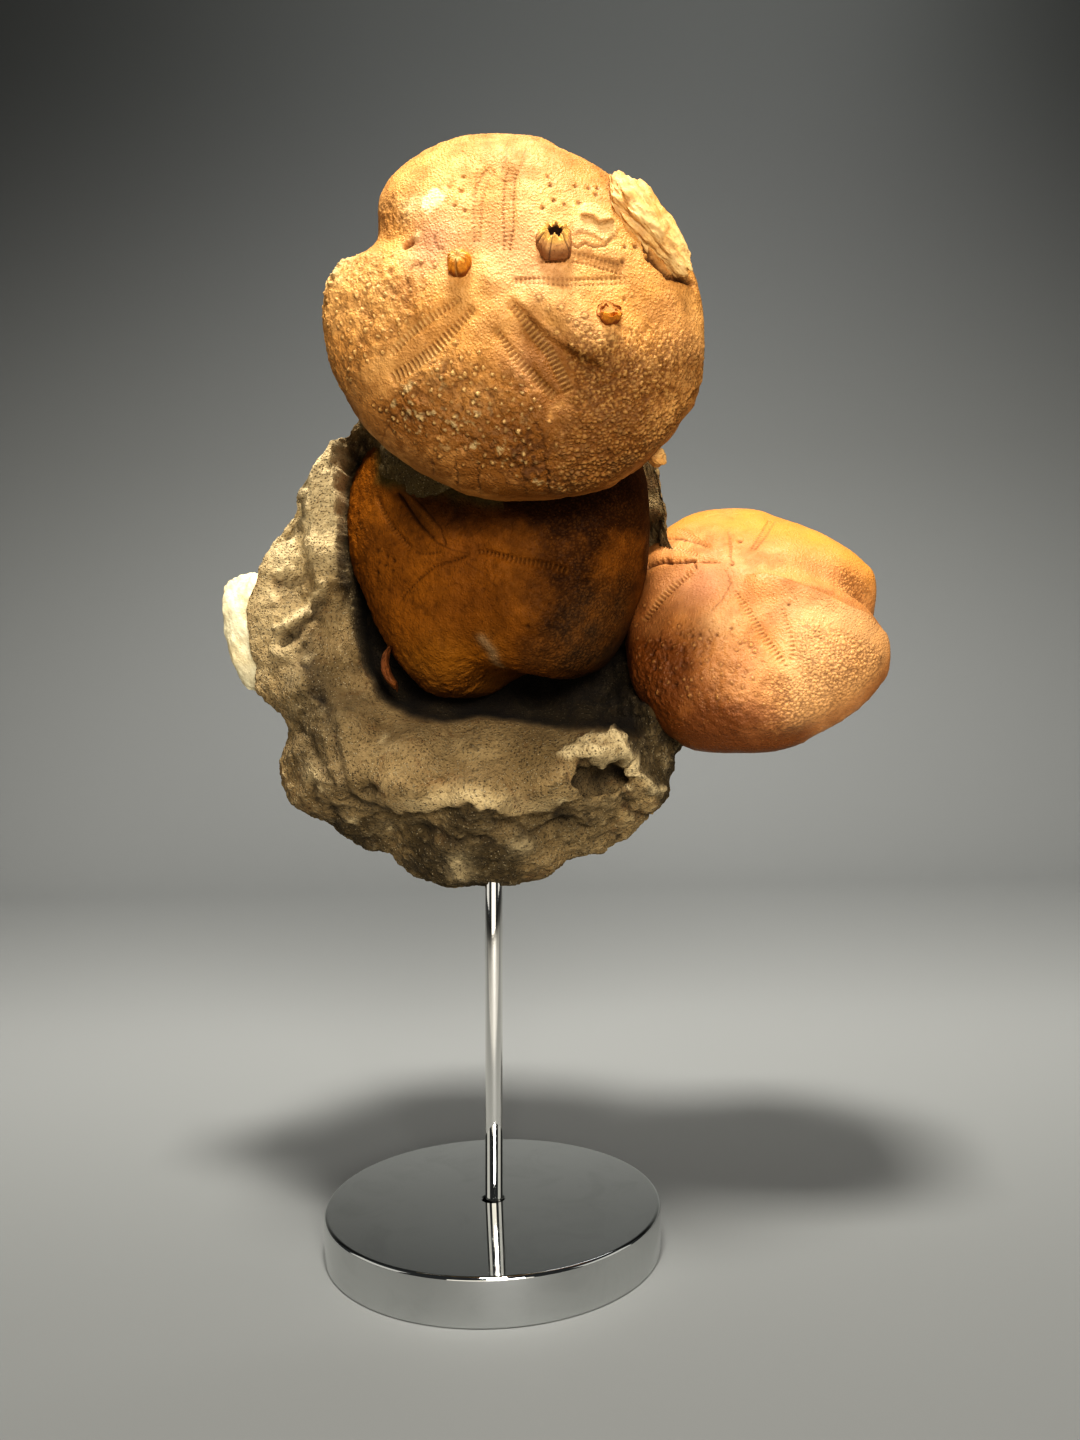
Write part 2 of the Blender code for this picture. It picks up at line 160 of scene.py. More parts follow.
def insidePatch(x, y, corners, soft):
    # 1 inside a closed patch, 0 outside, softened over its edge
    closed = tuple(corners) + (corners[0],)
    away = chainLine(x, y, closed)[0]
    inside = np.zeros(len(x), dtype=bool)
    for (x0, y0), (x1, y1) in zip(closed, closed[1:]):
        if y0 != y1:
            crosses = ((y0 > y) != (y1 > y)) & (x < x0 + (x1 - x0) * (y - y0) / (y1 - y0))
            inside ^= crosses
    return smoothStep(-soft, soft, np.where(inside, away, -away))


# ---- meshes ----
def readPoints(mesh):
    values = np.empty(len(mesh.vertices) * 3)
    mesh.vertices.foreach_get("co", values)
    return values.reshape(-1, 3)


def readNormals(mesh):
    values = np.empty(len(mesh.vertices) * 3, dtype=np.float32)
    mesh.vertex_normals.foreach_get("vector", values)
    return values.reshape(-1, 3).astype(float)


def writePoints(mesh, points):
    mesh.vertices.foreach_set("co", np.ascontiguousarray(points, dtype=np.float32).ravel())
    mesh.update()


def addMask(mesh, name, values):
    layer = mesh.attributes.new(name, "FLOAT", "POINT")
    layer.data.foreach_set("value", np.clip(values, 0.0, 1.0).astype(np.float32))


def finishedMesh(name, bm):
    mesh = bpy.data.meshes.new(name)
    bm.to_mesh(mesh)
    bm.free()
    mesh.shade_smooth()
    return mesh


def ballMesh(name, level, wanted=None):
    # an even ball of triangles, cut finer where wanted(direction) says so
    bm = bmesh.new()
    bmesh.ops.create_icosphere(bm, subdivisions=level, radius=1.0)
    if wanted:
        chosen = set()
        for face in bm.faces:
            if wanted(face.calc_center_median().normalized()):
                chosen.update(face.edges)
        bmesh.ops.subdivide_edges(bm, edges=list(chosen), cuts=1, use_grid_fill=True)
        bmesh.ops.triangulate(bm, faces=[f for f in bm.faces if len(f.verts) > 3])
        for vert in bm.verts:
            vert.co.normalize()
    return finishedMesh(name, bm)


def smoothPoints(mesh, points, rounds, factor=0.5):
    edges = np.empty(len(mesh.edges) * 2, dtype=np.int64)
    mesh.edges.foreach_get("vertices", edges)
    a, b = edges.reshape(-1, 2).T
    count = np.bincount(a, minlength=len(points)) + np.bincount(b, minlength=len(points))
    for _ in range(rounds):
        mean = np.stack([np.bincount(a, points[b, k], len(points))
                         + np.bincount(b, points[a, k], len(points)) for k in range(3)], -1)
        points = points + factor * (mean / count[:, None] - points)
    return points


def fitInside(points, node, knee=0.9):
    # keeps a piece within its solid's box: what would stick out is pressed in near the edge
    low, high = (np.array(corner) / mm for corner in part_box(node))
    middle, half = (low + high) / 2, (high - low) / 2
    place = (points - middle) / half
    for sign in (-1.0, 1.0):
        for axis in range(3):
            over = np.maximum(sign * place[:, axis] - knee, 0.0) / (1.0 - knee)
            if over.max() > 1.0:
                pressed = (1.0 - np.exp(-over)) / (1.0 - math.exp(-over.max()))
                place[:, axis] += sign * (pressed - over) * (1.0 - knee)
    return place * half + middle


def addObject(name, data):
    thing = bpy.data.objects.new(name, data)
    bpy.context.scene.collection.objects.link(thing)
    return thing


def addPiece(name, mesh, node, material):
    piece = addObject(name, mesh)
    mesh.materials.append(material)
    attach(piece, "root")
    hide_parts(node)
    print(f"{name}: {len(mesh.polygons)} faces")
    return piece


# ---- node helpers ----
def feed(tree, socket, value):
    # links another node's socket, or sets a number or a colour
    if isinstance(value, bpy.types.NodeSocket):
        tree.links.new(value, socket)
    else:
        socket.default_value = (*value, 1.0) if isinstance(value, (tuple, list)) else value


def addNode(tree, kind, **settings):
    node = tree.nodes.new(kind)
    for key, value in settings.items():
        if key in node.bl_rna.properties:
            setattr(node, key, value)
        else:
            feed(tree, node.inputs[key], value)
    return node


def newGroup(name, inputs, outputs):
    group = bpy.data.node_groups.new(name, "ShaderNodeTree")
    for label, default in inputs.items():
        socket = group.interface.new_socket(label, in_out="INPUT", socket_type="NodeSocketFloat")
        socket.default_value = default
    for label in outputs:
        group.interface.new_socket(label, in_out="OUTPUT", socket_type="NodeSocketFloat")
    return group, group.nodes.new("NodeGroupInput"), group.nodes.new("NodeGroupOutput")


def mixColours(tree, factor, one, two):
    node = addNode(tree, "ShaderNodeMix", data_type="RGBA")
    for index, value in ((0, factor), (6, one), (7, two)):
        feed(tree, node.inputs[index], value)
    return node.outputs[2]


def maths(tree, operation, one, two):
    node = addNode(tree, "ShaderNodeMath", operation=operation)
    feed(tree, node.inputs[0], one)
    feed(tree, node.inputs[1], two)
    return node.outputs[0]


def remap(tree, value, low, high, newLow=0.0, newHigh=1.0):
    node = addNode(tree, "ShaderNodeMapRange", interpolation_type="SMOOTHSTEP")
    for index, number in enumerate((value, low, high, newLow, newHigh)):
        feed(tree, node.inputs[index], number)
    return node.outputs[0]


def readMask(tree, name):
    return addNode(tree, "ShaderNodeAttribute", attribute_name=name).outputs["Fac"]


def objectPlace(tree):
    return addNode(tree, "ShaderNodeTexCoord").outputs["Object"]


def noiseOutput(tree, place, scale, detail=4.0, roughness=0.55, distortion=0.0):
    return addNode(tree, "ShaderNodeTexNoise", Vector=place, Scale=scale, Detail=detail,
                   Roughness=roughness, Distortion=distortion).outputs["Fac"]


def layOver(tree, colour, layers):
    # every layer is a mask or its name, a colour and, where it isn't full, a strength
    for mask, paint, *strength in layers:
        factor = readMask(tree, mask) if isinstance(mask, str) else mask
        if strength:
            factor = maths(tree, "MULTIPLY", factor, strength[0])
        colour = mixColours(tree, factor, colour, paint)
    return colour


def buildGrainGroup():
    # fine mineral grain: speckled light and dark grains, and a height for the bump
    group, start, end = newGroup("mineralGrain", {"Grain Size": 0.5, "Dark": 0.5, "Light": 0.5},
                                 ("Dark Grains", "Light Grains", "Height", "Mottle"))
    place = objectPlace(group)
    scale = maths(group, "DIVIDE", 1000.0, start.outputs["Grain Size"])
    cells = addNode(group, "ShaderNodeTexVoronoi", feature="F1", Vector=place, Scale=scale)
    split = addNode(group, "ShaderNodeSeparateColor")
    group.links.new(cells.outputs["Color"], split.inputs[0])
    core = remap(group, cells.outputs["Distance"], 0.1, 0.5, 1.0, 0.0)
    for index, label in enumerate(("Dark", "Light")):
        # the rarest cells by their random colour, more of them for a higher setting
        share = maths(group, "MULTIPLY", start.outputs[label], 0.3)
        chosen = maths(group, "GREATER_THAN", split.outputs[index],
                       maths(group, "SUBTRACT", 1.0, share))
        group.links.new(maths(group, "MULTIPLY", chosen, core), end.inputs[f"{label} Grains"])
    fine = noiseOutput(group, place, maths(group, "MULTIPLY", scale, 0.45), 6.0, 0.65)
    broad = noiseOutput(group, place, maths(group, "MULTIPLY", scale, 0.09), 5.0, 0.6)
    group.links.new(maths(group, "ADD", maths(group, "MULTIPLY", core, 0.4), fine),
                    end.inputs["Height"])
    group.links.new(broad, end.inputs["Mottle"])
    return group


def buildShadeAndWearGroup():
    # takes the hollow mask and lays painted shade, with some dirt, in the hollows; takes the raised mask
    # and makes raised tops paler, partly wear and partly painted highlight
    group, start, end = newGroup("hollowShadeAndWear", {"Hollow": 0.0, "Raised": 0.0, "Patchiness": 60.0},
                                 ("Shade And Dirt", "Worn And Lit"))
    patches = noiseOutput(group, objectPlace(group), start.outputs["Patchiness"], 5.0, 0.6)
    for source, target, reach in (("Hollow", "Shade And Dirt", (0.3, 0.6, 0.6, 1.0)),
                                  ("Raised", "Worn And Lit", (0.35, 0.65, 0.5, 1.0))):
        group.links.new(maths(group, "MULTIPLY", start.outputs[source],
                              remap(group, patches, *reach)), end.inputs[target])
    return group


grainGroup = buildGrainGroup()
shadeAndWearGroup = buildShadeAndWearGroup()


def useGroup(tree, group, **values):
    node = tree.nodes.new("ShaderNodeGroup")
    node.node_tree = group
    for key, value in values.items():
        feed(tree, node.inputs[key.replace("_", " ")], value)
    return node


def startMaterial(name):
    material = bpy.data.materials.new(name)
    material.use_nodes = True
    tree = material.node_tree
    return material, tree, tree.nodes["Principled BSDF"]


def addBump(tree, shader, height, strength, distance):
    node = addNode(tree, "ShaderNodeBump", Height=height, Strength=strength, Distance=distance)
    tree.links.new(node.outputs["Normal"], shader.inputs["Normal"])


# ---- fossil shell material, one recipe with three sets of colours ----
def buildShellMaterial(name, looks):
    material, tree, shader = startMaterial(name)
    place = objectPlace(tree)
    grain = useGroup(tree, grainGroup, Grain_Size=0.5, Dark=0.25, Light=0.3)
    shadeAndWear = useGroup(tree, shadeAndWearGroup, Hollow=readMask(tree, "hollow"),
                       Raised=readMask(tree, "boss"), Patchiness=looks["patchiness"])
    broad = noiseOutput(tree, place, looks["patchiness"] * 0.6, 5.0, 0.6, 0.6)
    colour = mixColours(tree, remap(tree, broad, 0.36, 0.64), looks["main"], looks["second"])
    cement = [("cement", looks["cement"])] if "cement" in looks else []
    # deep over the shade mask is painted shade; pit over the hollows is painted shade with some dirt;
    # wornAndLit over raised tops is partly wear, partly painted highlight
    colour = layOver(tree, colour, [
        (remap(tree, grain.outputs["Mottle"], 0.4, 0.66), looks["deep"], looks["mottle"]),
        ("rose", looks["rose"]), ("shade", looks["deep"]), ("rust", looks["rust"]), *cement,
        ("cream", looks["cream"]), (shadeAndWear.outputs["Worn And Lit"], looks["wornAndLit"], 0.7),
        (grain.outputs["Dark Grains"], looks["deep"], 0.35),
        (grain.outputs["Light Grains"], looks["wornAndLit"], 0.2),
        (shadeAndWear.outputs["Shade And Dirt"], looks["pit"], looks["shadeAndDirt"])])
    tree.links.new(colour, shader.inputs["Base Color"])
    rough = remap(tree, grain.outputs["Mottle"], 0.35, 0.65, *looks["gloss"])
    rough = maths(tree, "ADD", rough, maths(tree, "MULTIPLY", shadeAndWear.outputs["Shade And Dirt"], 0.2))
    tree.links.new(rough, shader.inputs["Roughness"])
    shader.inputs["Specular IOR Level"].default_value = looks["shine"]
    granules = addNode(tree, "ShaderNodeTexVoronoi", feature="SMOOTH_F1", Vector=place,
                       Scale=1700.0, Smoothness=0.35)
    lumps = remap(tree, granules.outputs["Distance"], 0.15, 0.6, 0.6, 0.0)
    addBump(tree, shader, maths(tree, "ADD", lumps, grain.outputs["Height"]), looks["bump"], 0.0003)
    return material


# ---- the three urchins ----
# rows of pores: corners, kind, length across, depth, sink of the groove
upperUrchin = {
    "node": "upper_urchin", "slot": "tan_test", "centre": (9.6, -26.0, 198.2),
    "facing": (-4.6, -1.4, 151.0), "radius": 37.0,
    "lobes": ((1, 0.018, 0.025), (2, 0.06, 0.0), (3, -0.014, 0.0)),
    "notch": (0.158, 14.4), "top": 18.5, "bottom": 12.0, "apex": (2.6, -0.5),
    "groove": (1.5, 4.0), "rowDepth": 0.3, "petalSink": 0.5,
    "petals": ((3.6, -2.6, 14.5, -19.3), (0.4, -4.3, 9.4, -21.8),
               (-2.4, -1.8, -22.1, -13.1), (-3.5, -7.1, -21.0, -14.1),
               (-2.4, 8.6, -20.1, 14.0), (-4.0, 2.2, -22.1, 12.3),
               (4.1, 4.8, 15.5, 24.3), (1.7, 6.1, 11.0, 25.6)),
    "hollows": ((-9.6, 0.7, -25.8, 9.4, 2.4, 1.5),),
    "swells": ((-9.0, -1.5, -22.6, -1.0, 3.0, 1.0), (31.0, 9.0, 28.0, 18.0, 4.0, 0.9)),
    "rows": (
        (((6.5, -4.5), (8.9, -9.0), (10.4, -12.0), (11.5, -15.0), (12.1, -18.0), (11.6, -20.5)),
         "dots", 1.5, 0.22, 0.2),
        (((0.8, -5.6), (2.6, -9.9), (4.9, -14.0), (7.2, -18.6),
        (8.2, -21.8)), "dots", 1.9, 0.32, 0.25),
        (((-2.1, -1.6), (-7.0, -4.0), (-12.0, -6.5), (-16.9, -9.5), (-21.5, -12.7)),
         "dots", 1.2, 0.42, 0.2),
        (((-4.4, -7.4), (-9.8, -10.9), (-13.7, -12.2), (-17.2, -13.1), (-20.3, -14.1)),
         "dots", 1.6, 0.42, 0.25),
        (((1.5, 5.6), (3.4, 11.0), (5.4, 15.9), (8.4, 20.9),
        (11.2, 24.6)), "comb", -2.9, 0.62, 0.5),
        (((4.6, 5.2), (7.7, 9.7), (9.8, 13.0), (11.6, 16.5), (13.2, 20.5)), "comb", 1.9, 0.5, 0.4),
        (((-3.5, 7.3), (-6.0, 8.6), (-8.9, 10.2), (-12.7, 11.4),
        (-19.9, 13.5)), "comb", 2.1, 0.6, 0.4),
        (((-3.6, 1.9), (-6.6, 3.0), (-10.4, 4.6), (-14.5, 6.3), (-17.9, 8.6), (-22.0, 11.8)),
         "comb", -2.8, 0.62, 0.55)),
    # corners, height, width (less than nothing for the line's other side)
    "walls": ((((-2.8, 0.5), (-6.2, 1.7), (-9.9, 3.0), (-13.7, 4.0), (-19.7, 4.4), (-26.0, 4.0)),
               1.5, 3.6),),
    "bosses": (
        (-3.0, 12.6), (0.0, 18.1), (1.6, 19.9), (-3.9, 16.5), (2.7, 22.7), (0.6, 22.9),
        (-3.2, 19.9),
        (-3.4, 25.0), (-0.3, 27.6), (-5.4, 25.7), (-9.8, 23.0), (-7.0, 26.7), (-15.7, 21.8),
        (-16.3, 17.2), (-13.5, 15.5), (-12.5, 17.3), (-7.6, 28.9), (-11.6, 28.4), (-12.5, 25.4),
        (-17.4, 22.9), (-5.9, 19.3), (-8.9, 19.8), (-16.0, 15.5), (18.9, 10.6), (20.8, 9.9),
        (16.7, 18.2), (19.6, 18.0), (20.7, 23.7), (17.3, 14.6), (24.3, 20.7), (14.6, 16.2),
        (14.3, 14.0), (20.2, 22.4), (22.4, 14.8), (23.0, 10.4), (24.2, 13.0), (30.4, 12.2),
        (29.6, 15.3), (12.5, 12.3), (12.7, 16.1), (-10.9, -0.1), (-12.9, -1.5), (-17.5, -2.2),
        (-15.2, -0.1), (-20.9, 0.3), (-8.5, -1.2), (-16.8, -0.2), (-18.9, -0.3)),
    # angles from and to, distances from and to, spacing, size, height
    "tubercles": ((66, 140, 13, 33, 1.8, 0.36, 0.34), (8, 56, 12, 37, 1.6, 0.3, 0.26),
                  (150, 184, 11, 24, 3.0, 0.36, 0.22), (186, 214, 14, 26, 4.2, 0.32, 0.14)),
    "pits": ((0.1, -21.6), (-4.0, -24.0), (-6.2, -25.0), (-7.6, -26.0), (-8.1, -24.4),
             (-4.1, -19.4),
             (-6.3, -21.0), (-0.9, -16.7), (1.4, -23.0), (-2.0, -19.2), (-17.8, -17.8),
             (-19.4, -19.0), (-18.8, -15.2), (17.1, -12.7), (14.6, -12.9), (11.9, -9.7),
             (14.3, -9.8), (15.7, -15.8), (-24.0, -4.0), (-22.5, -9.0)),
    "cracks": ((((-17.9, 19.3), (-19.9, 19.9), (-22.3, 23.6), (-25.4, 28.6),
               (-27.0, 31.5)), 0.2, 0.5),
               (((-10.7, 29.8), (-12.6, 34.5)), 0.16, 0.35), (((-6.7, 31.9),
               (-8.3, 36.0)), 0.16, 0.35),
               (((-18.7, 25.8), (-21.3, 31.0)), 0.15, 0.3), (((-2.0, 33.0),
               (-2.6, 37.5)), 0.15, 0.3),
               (((-31.0, 15.5), (-35.0, 19.0)), 0.16, 0.25), (((8.0, 30.0),
               (10.0, 35.0)), 0.14, 0.2),
               (((19.6, -21.2), (16.9, -19.9), (14.4, -18.3), (12.8, -16.0),
               (12.0, -12.9)), 0.14, 0.14),
               (((-8.7, -12.9), (-10.4, -13.0), (-11.3, -14.6), (-13.0, -14.7), (-14.6, -15.9),
                 (-15.0, -18.3)), 0.2, 0.3),
               (((14.9, -3.1), (14.2, -1.8), (12.5, -1.2)), 0.22, 0.25),
               (((11.3, -19.0), (8.6, -18.4), (7.2, -19.2), (7.0, -22.5),
               (8.5, -27.6)), 0.14, 0.14),
               (((9.6, -20.3), (10.8, -23.9), (12.6, -26.2)), 0.14, 0.14),
               (((-10.0, -28.6), (-11.4, -27.3), (-15.4, -24.6), (-19.1, -21.6), (-22.8, -18.3),
                 (-27.2, -17.5), (-31.0, -19.6)), 0.5, 0.9)),
    "leather": 0.42, "granule": 1.0, "uneven": 0.28,
}
middleUrchin = {
    "node": "middle_urchin", "slot": "brown_test", "centre": (6.0, 11.0, 160.8),
    "facing": (-21.9, -0.5, -84.3), "radius": 37.5,
    "lobes": ((1, 0.087, -0.057), (2, 0.036, 0.022), (3, 0.061, -0.014)),
    "notch": (0.27, 20.9), "top": 25.0, "bottom": 11.2, "apex": (6.2, -4.1),
    "groove": (1.8, 6.0), "rowDepth": 0.25, "petalSink": 0.3,
    "petals": ((0.6, 7.0, 7.8, 26.1), (3.0, 5.5, 12.5, 22.5), (3.0, -5.0, 9.0, -14.7),
               (0.6, -5.6, 5.0, -16.5), (-1.5, -6.5, -16.7, -16.6),
               (-2.5, -4.5, -15.5, -11.5), (-2.0, 5.5, -16.0, 15.0),
               (-4.0, 3.5, -17.5, 11.0)),
    "hollows": ((-14.7, -10.4, -4.3, -3.3, 0.9, 0.5),),
    "swells": ((6.0, 13.0, 22.0, 16.0, 6.0, 0.8),),
    "rows": (
        (((1.0, 5.7), (1.1, 8.3), (2.3, 11.0), (3.9, 14.7), (5.0, 18.5), (6.3, 22.2), (8.0, 25.3)),
         "comb", 1.6, 0.55, 0.6),
        (((-16.5, -17.6), (-14.3, -16.6), (-12.2, -15.8), (-9.7, -14.5), (-6.5, -12.4),
          (-3.8, -10.5),
          (-2.0, -8.8)), "comb", 1.5, 0.55, 0.6),
        (((-2.0, -8.8), (-0.9, -6.5), (-0.6, -4.5), (-0.5, -1.0)), "line", 0.6, 0.25, 0.1),
        (((1.2, 5.0), (1.5, 3.6), (2.0, 0.7), (2.4, -3.9), (3.5, -6.6), (5.3, -9.7), (6.8, -12.3),
          (8.6, -14.5)), "line", 0.7, 0.4, 0.3)),
    "walls": (),
    "bosses": ((-4.4, -24.0), (-3.8, -19.6), (-7.7, -16.8), (25.5, -8.6), (27.8, -4.3),
               (28.0, -2.9),
               (19.8, -14.0), (16.2, -7.1), (16.8, 17.9), (17.7, 22.0), (17.5, 25.0), (7.0, -5.6)),
    "tubercles": ((-120, -84, 17, 27, 2.3, 0.34, 0.2), (28, 66, 24, 38, 2.4, 0.32, 0.16),
                  (-30, 12, 26, 34, 2.6, 0.32, 0.14)),
    "pits": ((-3.8, -18.0), (-2.1, -15.6), (-0.7, -13.8), (-1.2, -18.1), (-0.2, -16.6),
             (1.3, -14.7),
             (0.9, -19.2), (14.0, 20.0), (18.0, 15.0), (10.0, 28.0)),
    "cracks": ((((-15.6, -11.4), (-11.2, -8.7), (-7.5, -6.4), (-4.0, -3.6)), 0.3, 0.7),
               (((-4.0, -3.6), (-2.2, -1.8), (-1.3, -0.3)), 0.15, 0.3),
               (((-16.1, -9.7), (-12.4, -6.0), (-8.7, -3.2), (-5.5, -1.0),
               (-1.4, -0.2)), 0.2, 0.35),
               (((3.2, 4.4), (5.5, 7.3), (8.9, 10.0)), 0.18, 0.14),
               (((-1.3, -0.3), (0.2, 2.5), (1.0, 5.0)), 0.14, 0.2)),
    "leather": 0.1, "granule": 0.9, "uneven": 0.22, "bossSize": 0.6,
}
sideUrchin = {
    "node": "side_urchin", "slot": "orange_test", "centre": (63.2, 8.0, 138.0),
    "facing": (-17.2, 38.4, 1.7), "radius": 32.3,
    "lobes": ((1, -0.042, -0.028), (2, -0.032, -0.055), (3, 0.053, 0.006)),
    "notch": (0.185, 15.0), "top": 18.7, "bottom": 11.0, "apex": (-4.1, 1.2),
    "groove": (2.6, 4.2), "rowDepth": 0.25, "petalSink": 0.3,
    "petals": ((1.7, -7.4, 11.6, -24.7), (9.5, -7.8, 13.1, -24.6),
               (-7.4, 0.3, -18.8, -8.5), (-4.5, -3.5, -15.0, -14.0),
               (0.2, 3.0, -1.0, 14.0), (5.0, 5.0, 9.0, 20.0),
               (-6.5, 4.5, -18.0, 12.0), (-4.0, 6.5, -13.0, 18.0)),
    "hollows": ((-18.9, 6.6, -4.0, 2.6, 0.9, 0.5),),
    "swells": ((7.0, -5.5, 29.0, -10.0, 3.0, 0.9),),
    "rows": (
        (((1.6, -7.0), (3.8, -11.4), (5.8, -14.8), (7.6, -18.0), (9.8, -21.2), (12.2, -24.6)),
         "comb", 1.9, 0.3, 0.35),
        (((11.6, -11.0), (12.4, -15.1), (13.2, -17.2), (13.8, -19.7), (13.8, -22.0), (13.2, -24.3)),
         "comb", 1.3, 0.22, 0.2),
        (((-8.0, 0.0), (-9.3, -0.7), (-11.8, -2.5), (-13.9, -4.3), (-15.9, -6.2), (-17.8, -8.0),
          (-20.0, -10.0)), "comb", 2.7, 0.42, 0.35),
        (((0.2, 2.5), (0.2, 7.0), (-0.8, 13.5)), "line", 0.6, 0.14, 0.1),
        (((5.0, 5.0), (7.5, 12.0), (9.0, 20.0)), "dots", 1.4, 0.2, 0.1),
        (((-6.5, 4.5), (-12.0, 8.8), (-18.0, 12.0)), "comb", 1.6, 0.35, 0.2),
        (((-4.0, 6.5), (-9.0, 12.0), (-13.0, 18.0)), "comb", 1.6, 0.35, 0.2)),
    "walls": ((((3.8, -2.7), (8.6, -3.5), (14.5, -5.6), (22.0, -9.0), (25.8, -10.1), (31.0, -9.8)),
               1.7, -3.0),),
    "bosses": ((-1.1, -24.6), (-3.0, -25.6), (1.4, -26.2), (-9.5, -23.6), (3.8, -27.1),
               (9.2, -26.7),
               (8.0, -28.1), (5.5, -27.5), (3.4, -29.1), (11.6, -27.1), (9.4, -28.7), (0.6, -30.8),
               (7.6, -31.7), (9.8, -30.6), (12.5, -24.4), (-5.7, -14.8), (-3.9, -20.7),
               (-0.9, -21.1),
               (2.2, -21.7), (3.0, -20.1), (0.0, -19.0), (-3.3, -17.0)),
    "tubercles": ((-128, -74, 17, 31, 2.2, 0.34, 0.24), (-165, -128, 18, 30, 2.6, 0.32, 0.18)),
    "pits": ((-2.9, -14.8), (1.1, -16.9), (-2.0, -18.1), (-7.3, -17.7), (-10.3, -16.5),
             (13.0, -11.2),
             (0.9, 0.7), (2.2, 8.8), (-5.6, -17.5), (-13.1, -19.1), (-14.9, -16.6), (-13.5, -21.5),
             (-9.8, -23.6), (-11.8, -24.6), (-14.5, -25.0), (-16.7, -18.8), (-11.1, -26.8),
             (-12.3, -17.9), (-16.0, -22.0), (-7.0, -20.5), (-5.4, -24.0), (-18.6, -16.0)),
    "cracks": ((((-20.2, 6.6), (-18.6, 6.2), (-16.4, 5.9), (-14.6, 5.6), (-12.3, 4.0), (-10.1, 3.6),
                 (-8.0, 3.5)), 0.5, 1.0),
               (((-8.4, 3.6), (-7.1, 3.1), (-4.2, 2.7), (-2.1, 1.9)), 0.22, 0.5),
               (((-7.8, 2.9), (-7.1, 0.7)), 0.2, 0.5), (((0.4, 7.3), (0.9, 1.0)), 0.15, 0.15),
               (((-18.7, 18.0), (-14.1, 14.2), (-8.9, 10.7), (-5.4, 8.1)), 0.3, 0.3),
               (((-0.6, -1.1), (0.8, -5.1), (-1.2, -9.7), (-3.0, -12.0)), 0.18, 0.15)),
    "leather": 0.28, "granule": 0.95, "uneven": 0.2, "bossSize": 0.75,
}


def urchinSurface(spec, directions):
    x, y, z = directions.T
    angle = np.arctan2(y, x)
    flat = np.hypot(x, y)
    onTop = z >= 0.0
    power = np.where(onTop, 2.3, 2.6)
    reach = flat ** (2.0 / power)
    rise = np.abs(z) ** (2.0 / power)
    swell = sum(c * np.cos(k * angle) + s * np.sin(k * angle) for k, c, s in spec["lobes"])
    depth, width = spec["notch"]
    bite = depth * bump(turnDistance(angle, 0.0), math.radians(width))
    ring = spec["radius"] * (1.0 + swell) * (1.0 - bite * reach * reach)
    pull = np.where(onTop, 1.0 - reach * reach, 0.0)
    return np.stack([spec["apex"][0] * pull + ring * reach * np.cos(angle),
                     spec["apex"][1] * pull + ring * reach * np.sin(angle),
                     rise * np.where(onTop, spec["top"], -spec["bottom"])], -1)


def urchinNormals(spec, directions, points):
    helper = np.where(np.abs(directions[:, 2:3]) < 0.9, [[0.0, 0.0, 1.0]], [[1.0, 0.0, 0.0]])
    sideA = unit(np.cross(directions, helper))
    sideB = np.cross(directions, sideA)

    def nearby(side):
        return urchinSurface(spec, unit(directions + side * 0.01)) - points
    return unit(np.cross(nearby(sideA), nearby(sideB)))


def topForms(spec, x, y):
    # the broad groove, petals, ridges and hollows, close to those of the solid
    radius = spec["radius"]
    depth, width = spec["groove"]
    far = smoothStep(0.05, 0.75, x / radius)
    height = -depth * far * bump(y, width * (0.6 + 0.4 * far)) * (x > 0)
    rows = spec["petals"]
    for one, other in zip(rows[::2], rows[1::2]):
        away, along = straightLine(x, y, *((a + b) / 2.0 for a, b in zip(one, other)))
        inside = smoothStep(-0.1, 0.15, along) * (1.0 - smoothStep(0.9, 1.15, along))
        height -= spec["petalSink"] * inside * bump(away, 3.2)
    for sign, lines in ((-1.0, spec["hollows"]), (1.0, spec["swells"])):
        for x0, y0, x1, y1, wide, tall in lines:
            away, _ = straightLine(x, y, x0, y0, x1, y1)
            height += sign * tall * bump(away, wide)
    return height + 0.5 * np.exp(-(x * x + y * y) / 4.0)


def baseForms(spec, points):
    # mouth, lip, raised plastron and bare paths of the underside
    x, y = points[:, 0] / spec["radius"], points[:, 1] / spec["radius"]
    mouth = np.exp(-(((x - 0.42) / 0.09) ** 2 + (y / 0.15) ** 2))
    lip = np.exp(-(((x - 0.30) / 0.06) ** 2 + (y / 0.16) ** 2))
    plastron = np.exp(-(((x + 0.25) / 0.42) ** 2 + (y / 0.22) ** 2))
    paths = bump(np.abs(y) - 0.38, 0.10) * (1.0 - smoothStep(0.1, 0.5, np.abs(x + 0.1)))
    return 1.3 * plastron + 1.0 * lip - 2.4 * mouth - 0.7 * paths, mouth, plastron


def scatterSpots(zones, kept, seed):
    # spots strewn in wedges round the petals' centre, clear of each other and of the ones kept
    random = np.random.default_rng(seed)
    spots = list(kept)
    for low, high, near, far, spacing, size, height in zones:
        low, high = math.radians(low), math.radians(high)
        area = 0.5 * (high - low) * (far * far - near * near)
        for _ in range(int(area / (spacing * spacing) * 4)):
            angle = random.uniform(low, high)
            away = math.sqrt(random.uniform(near * near, far * far))
            grow = random.uniform(0.45, 1.3)
            x, y = away * math.cos(angle), away * math.sin(angle)
            if all((x - a) ** 2 + (y - b) ** 2 > (spacing * random.uniform(0.45, 1.1)) ** 2
                   for a, b, _, _ in spots):
                spots.append((x, y, size * grow, height * grow))
    return spots


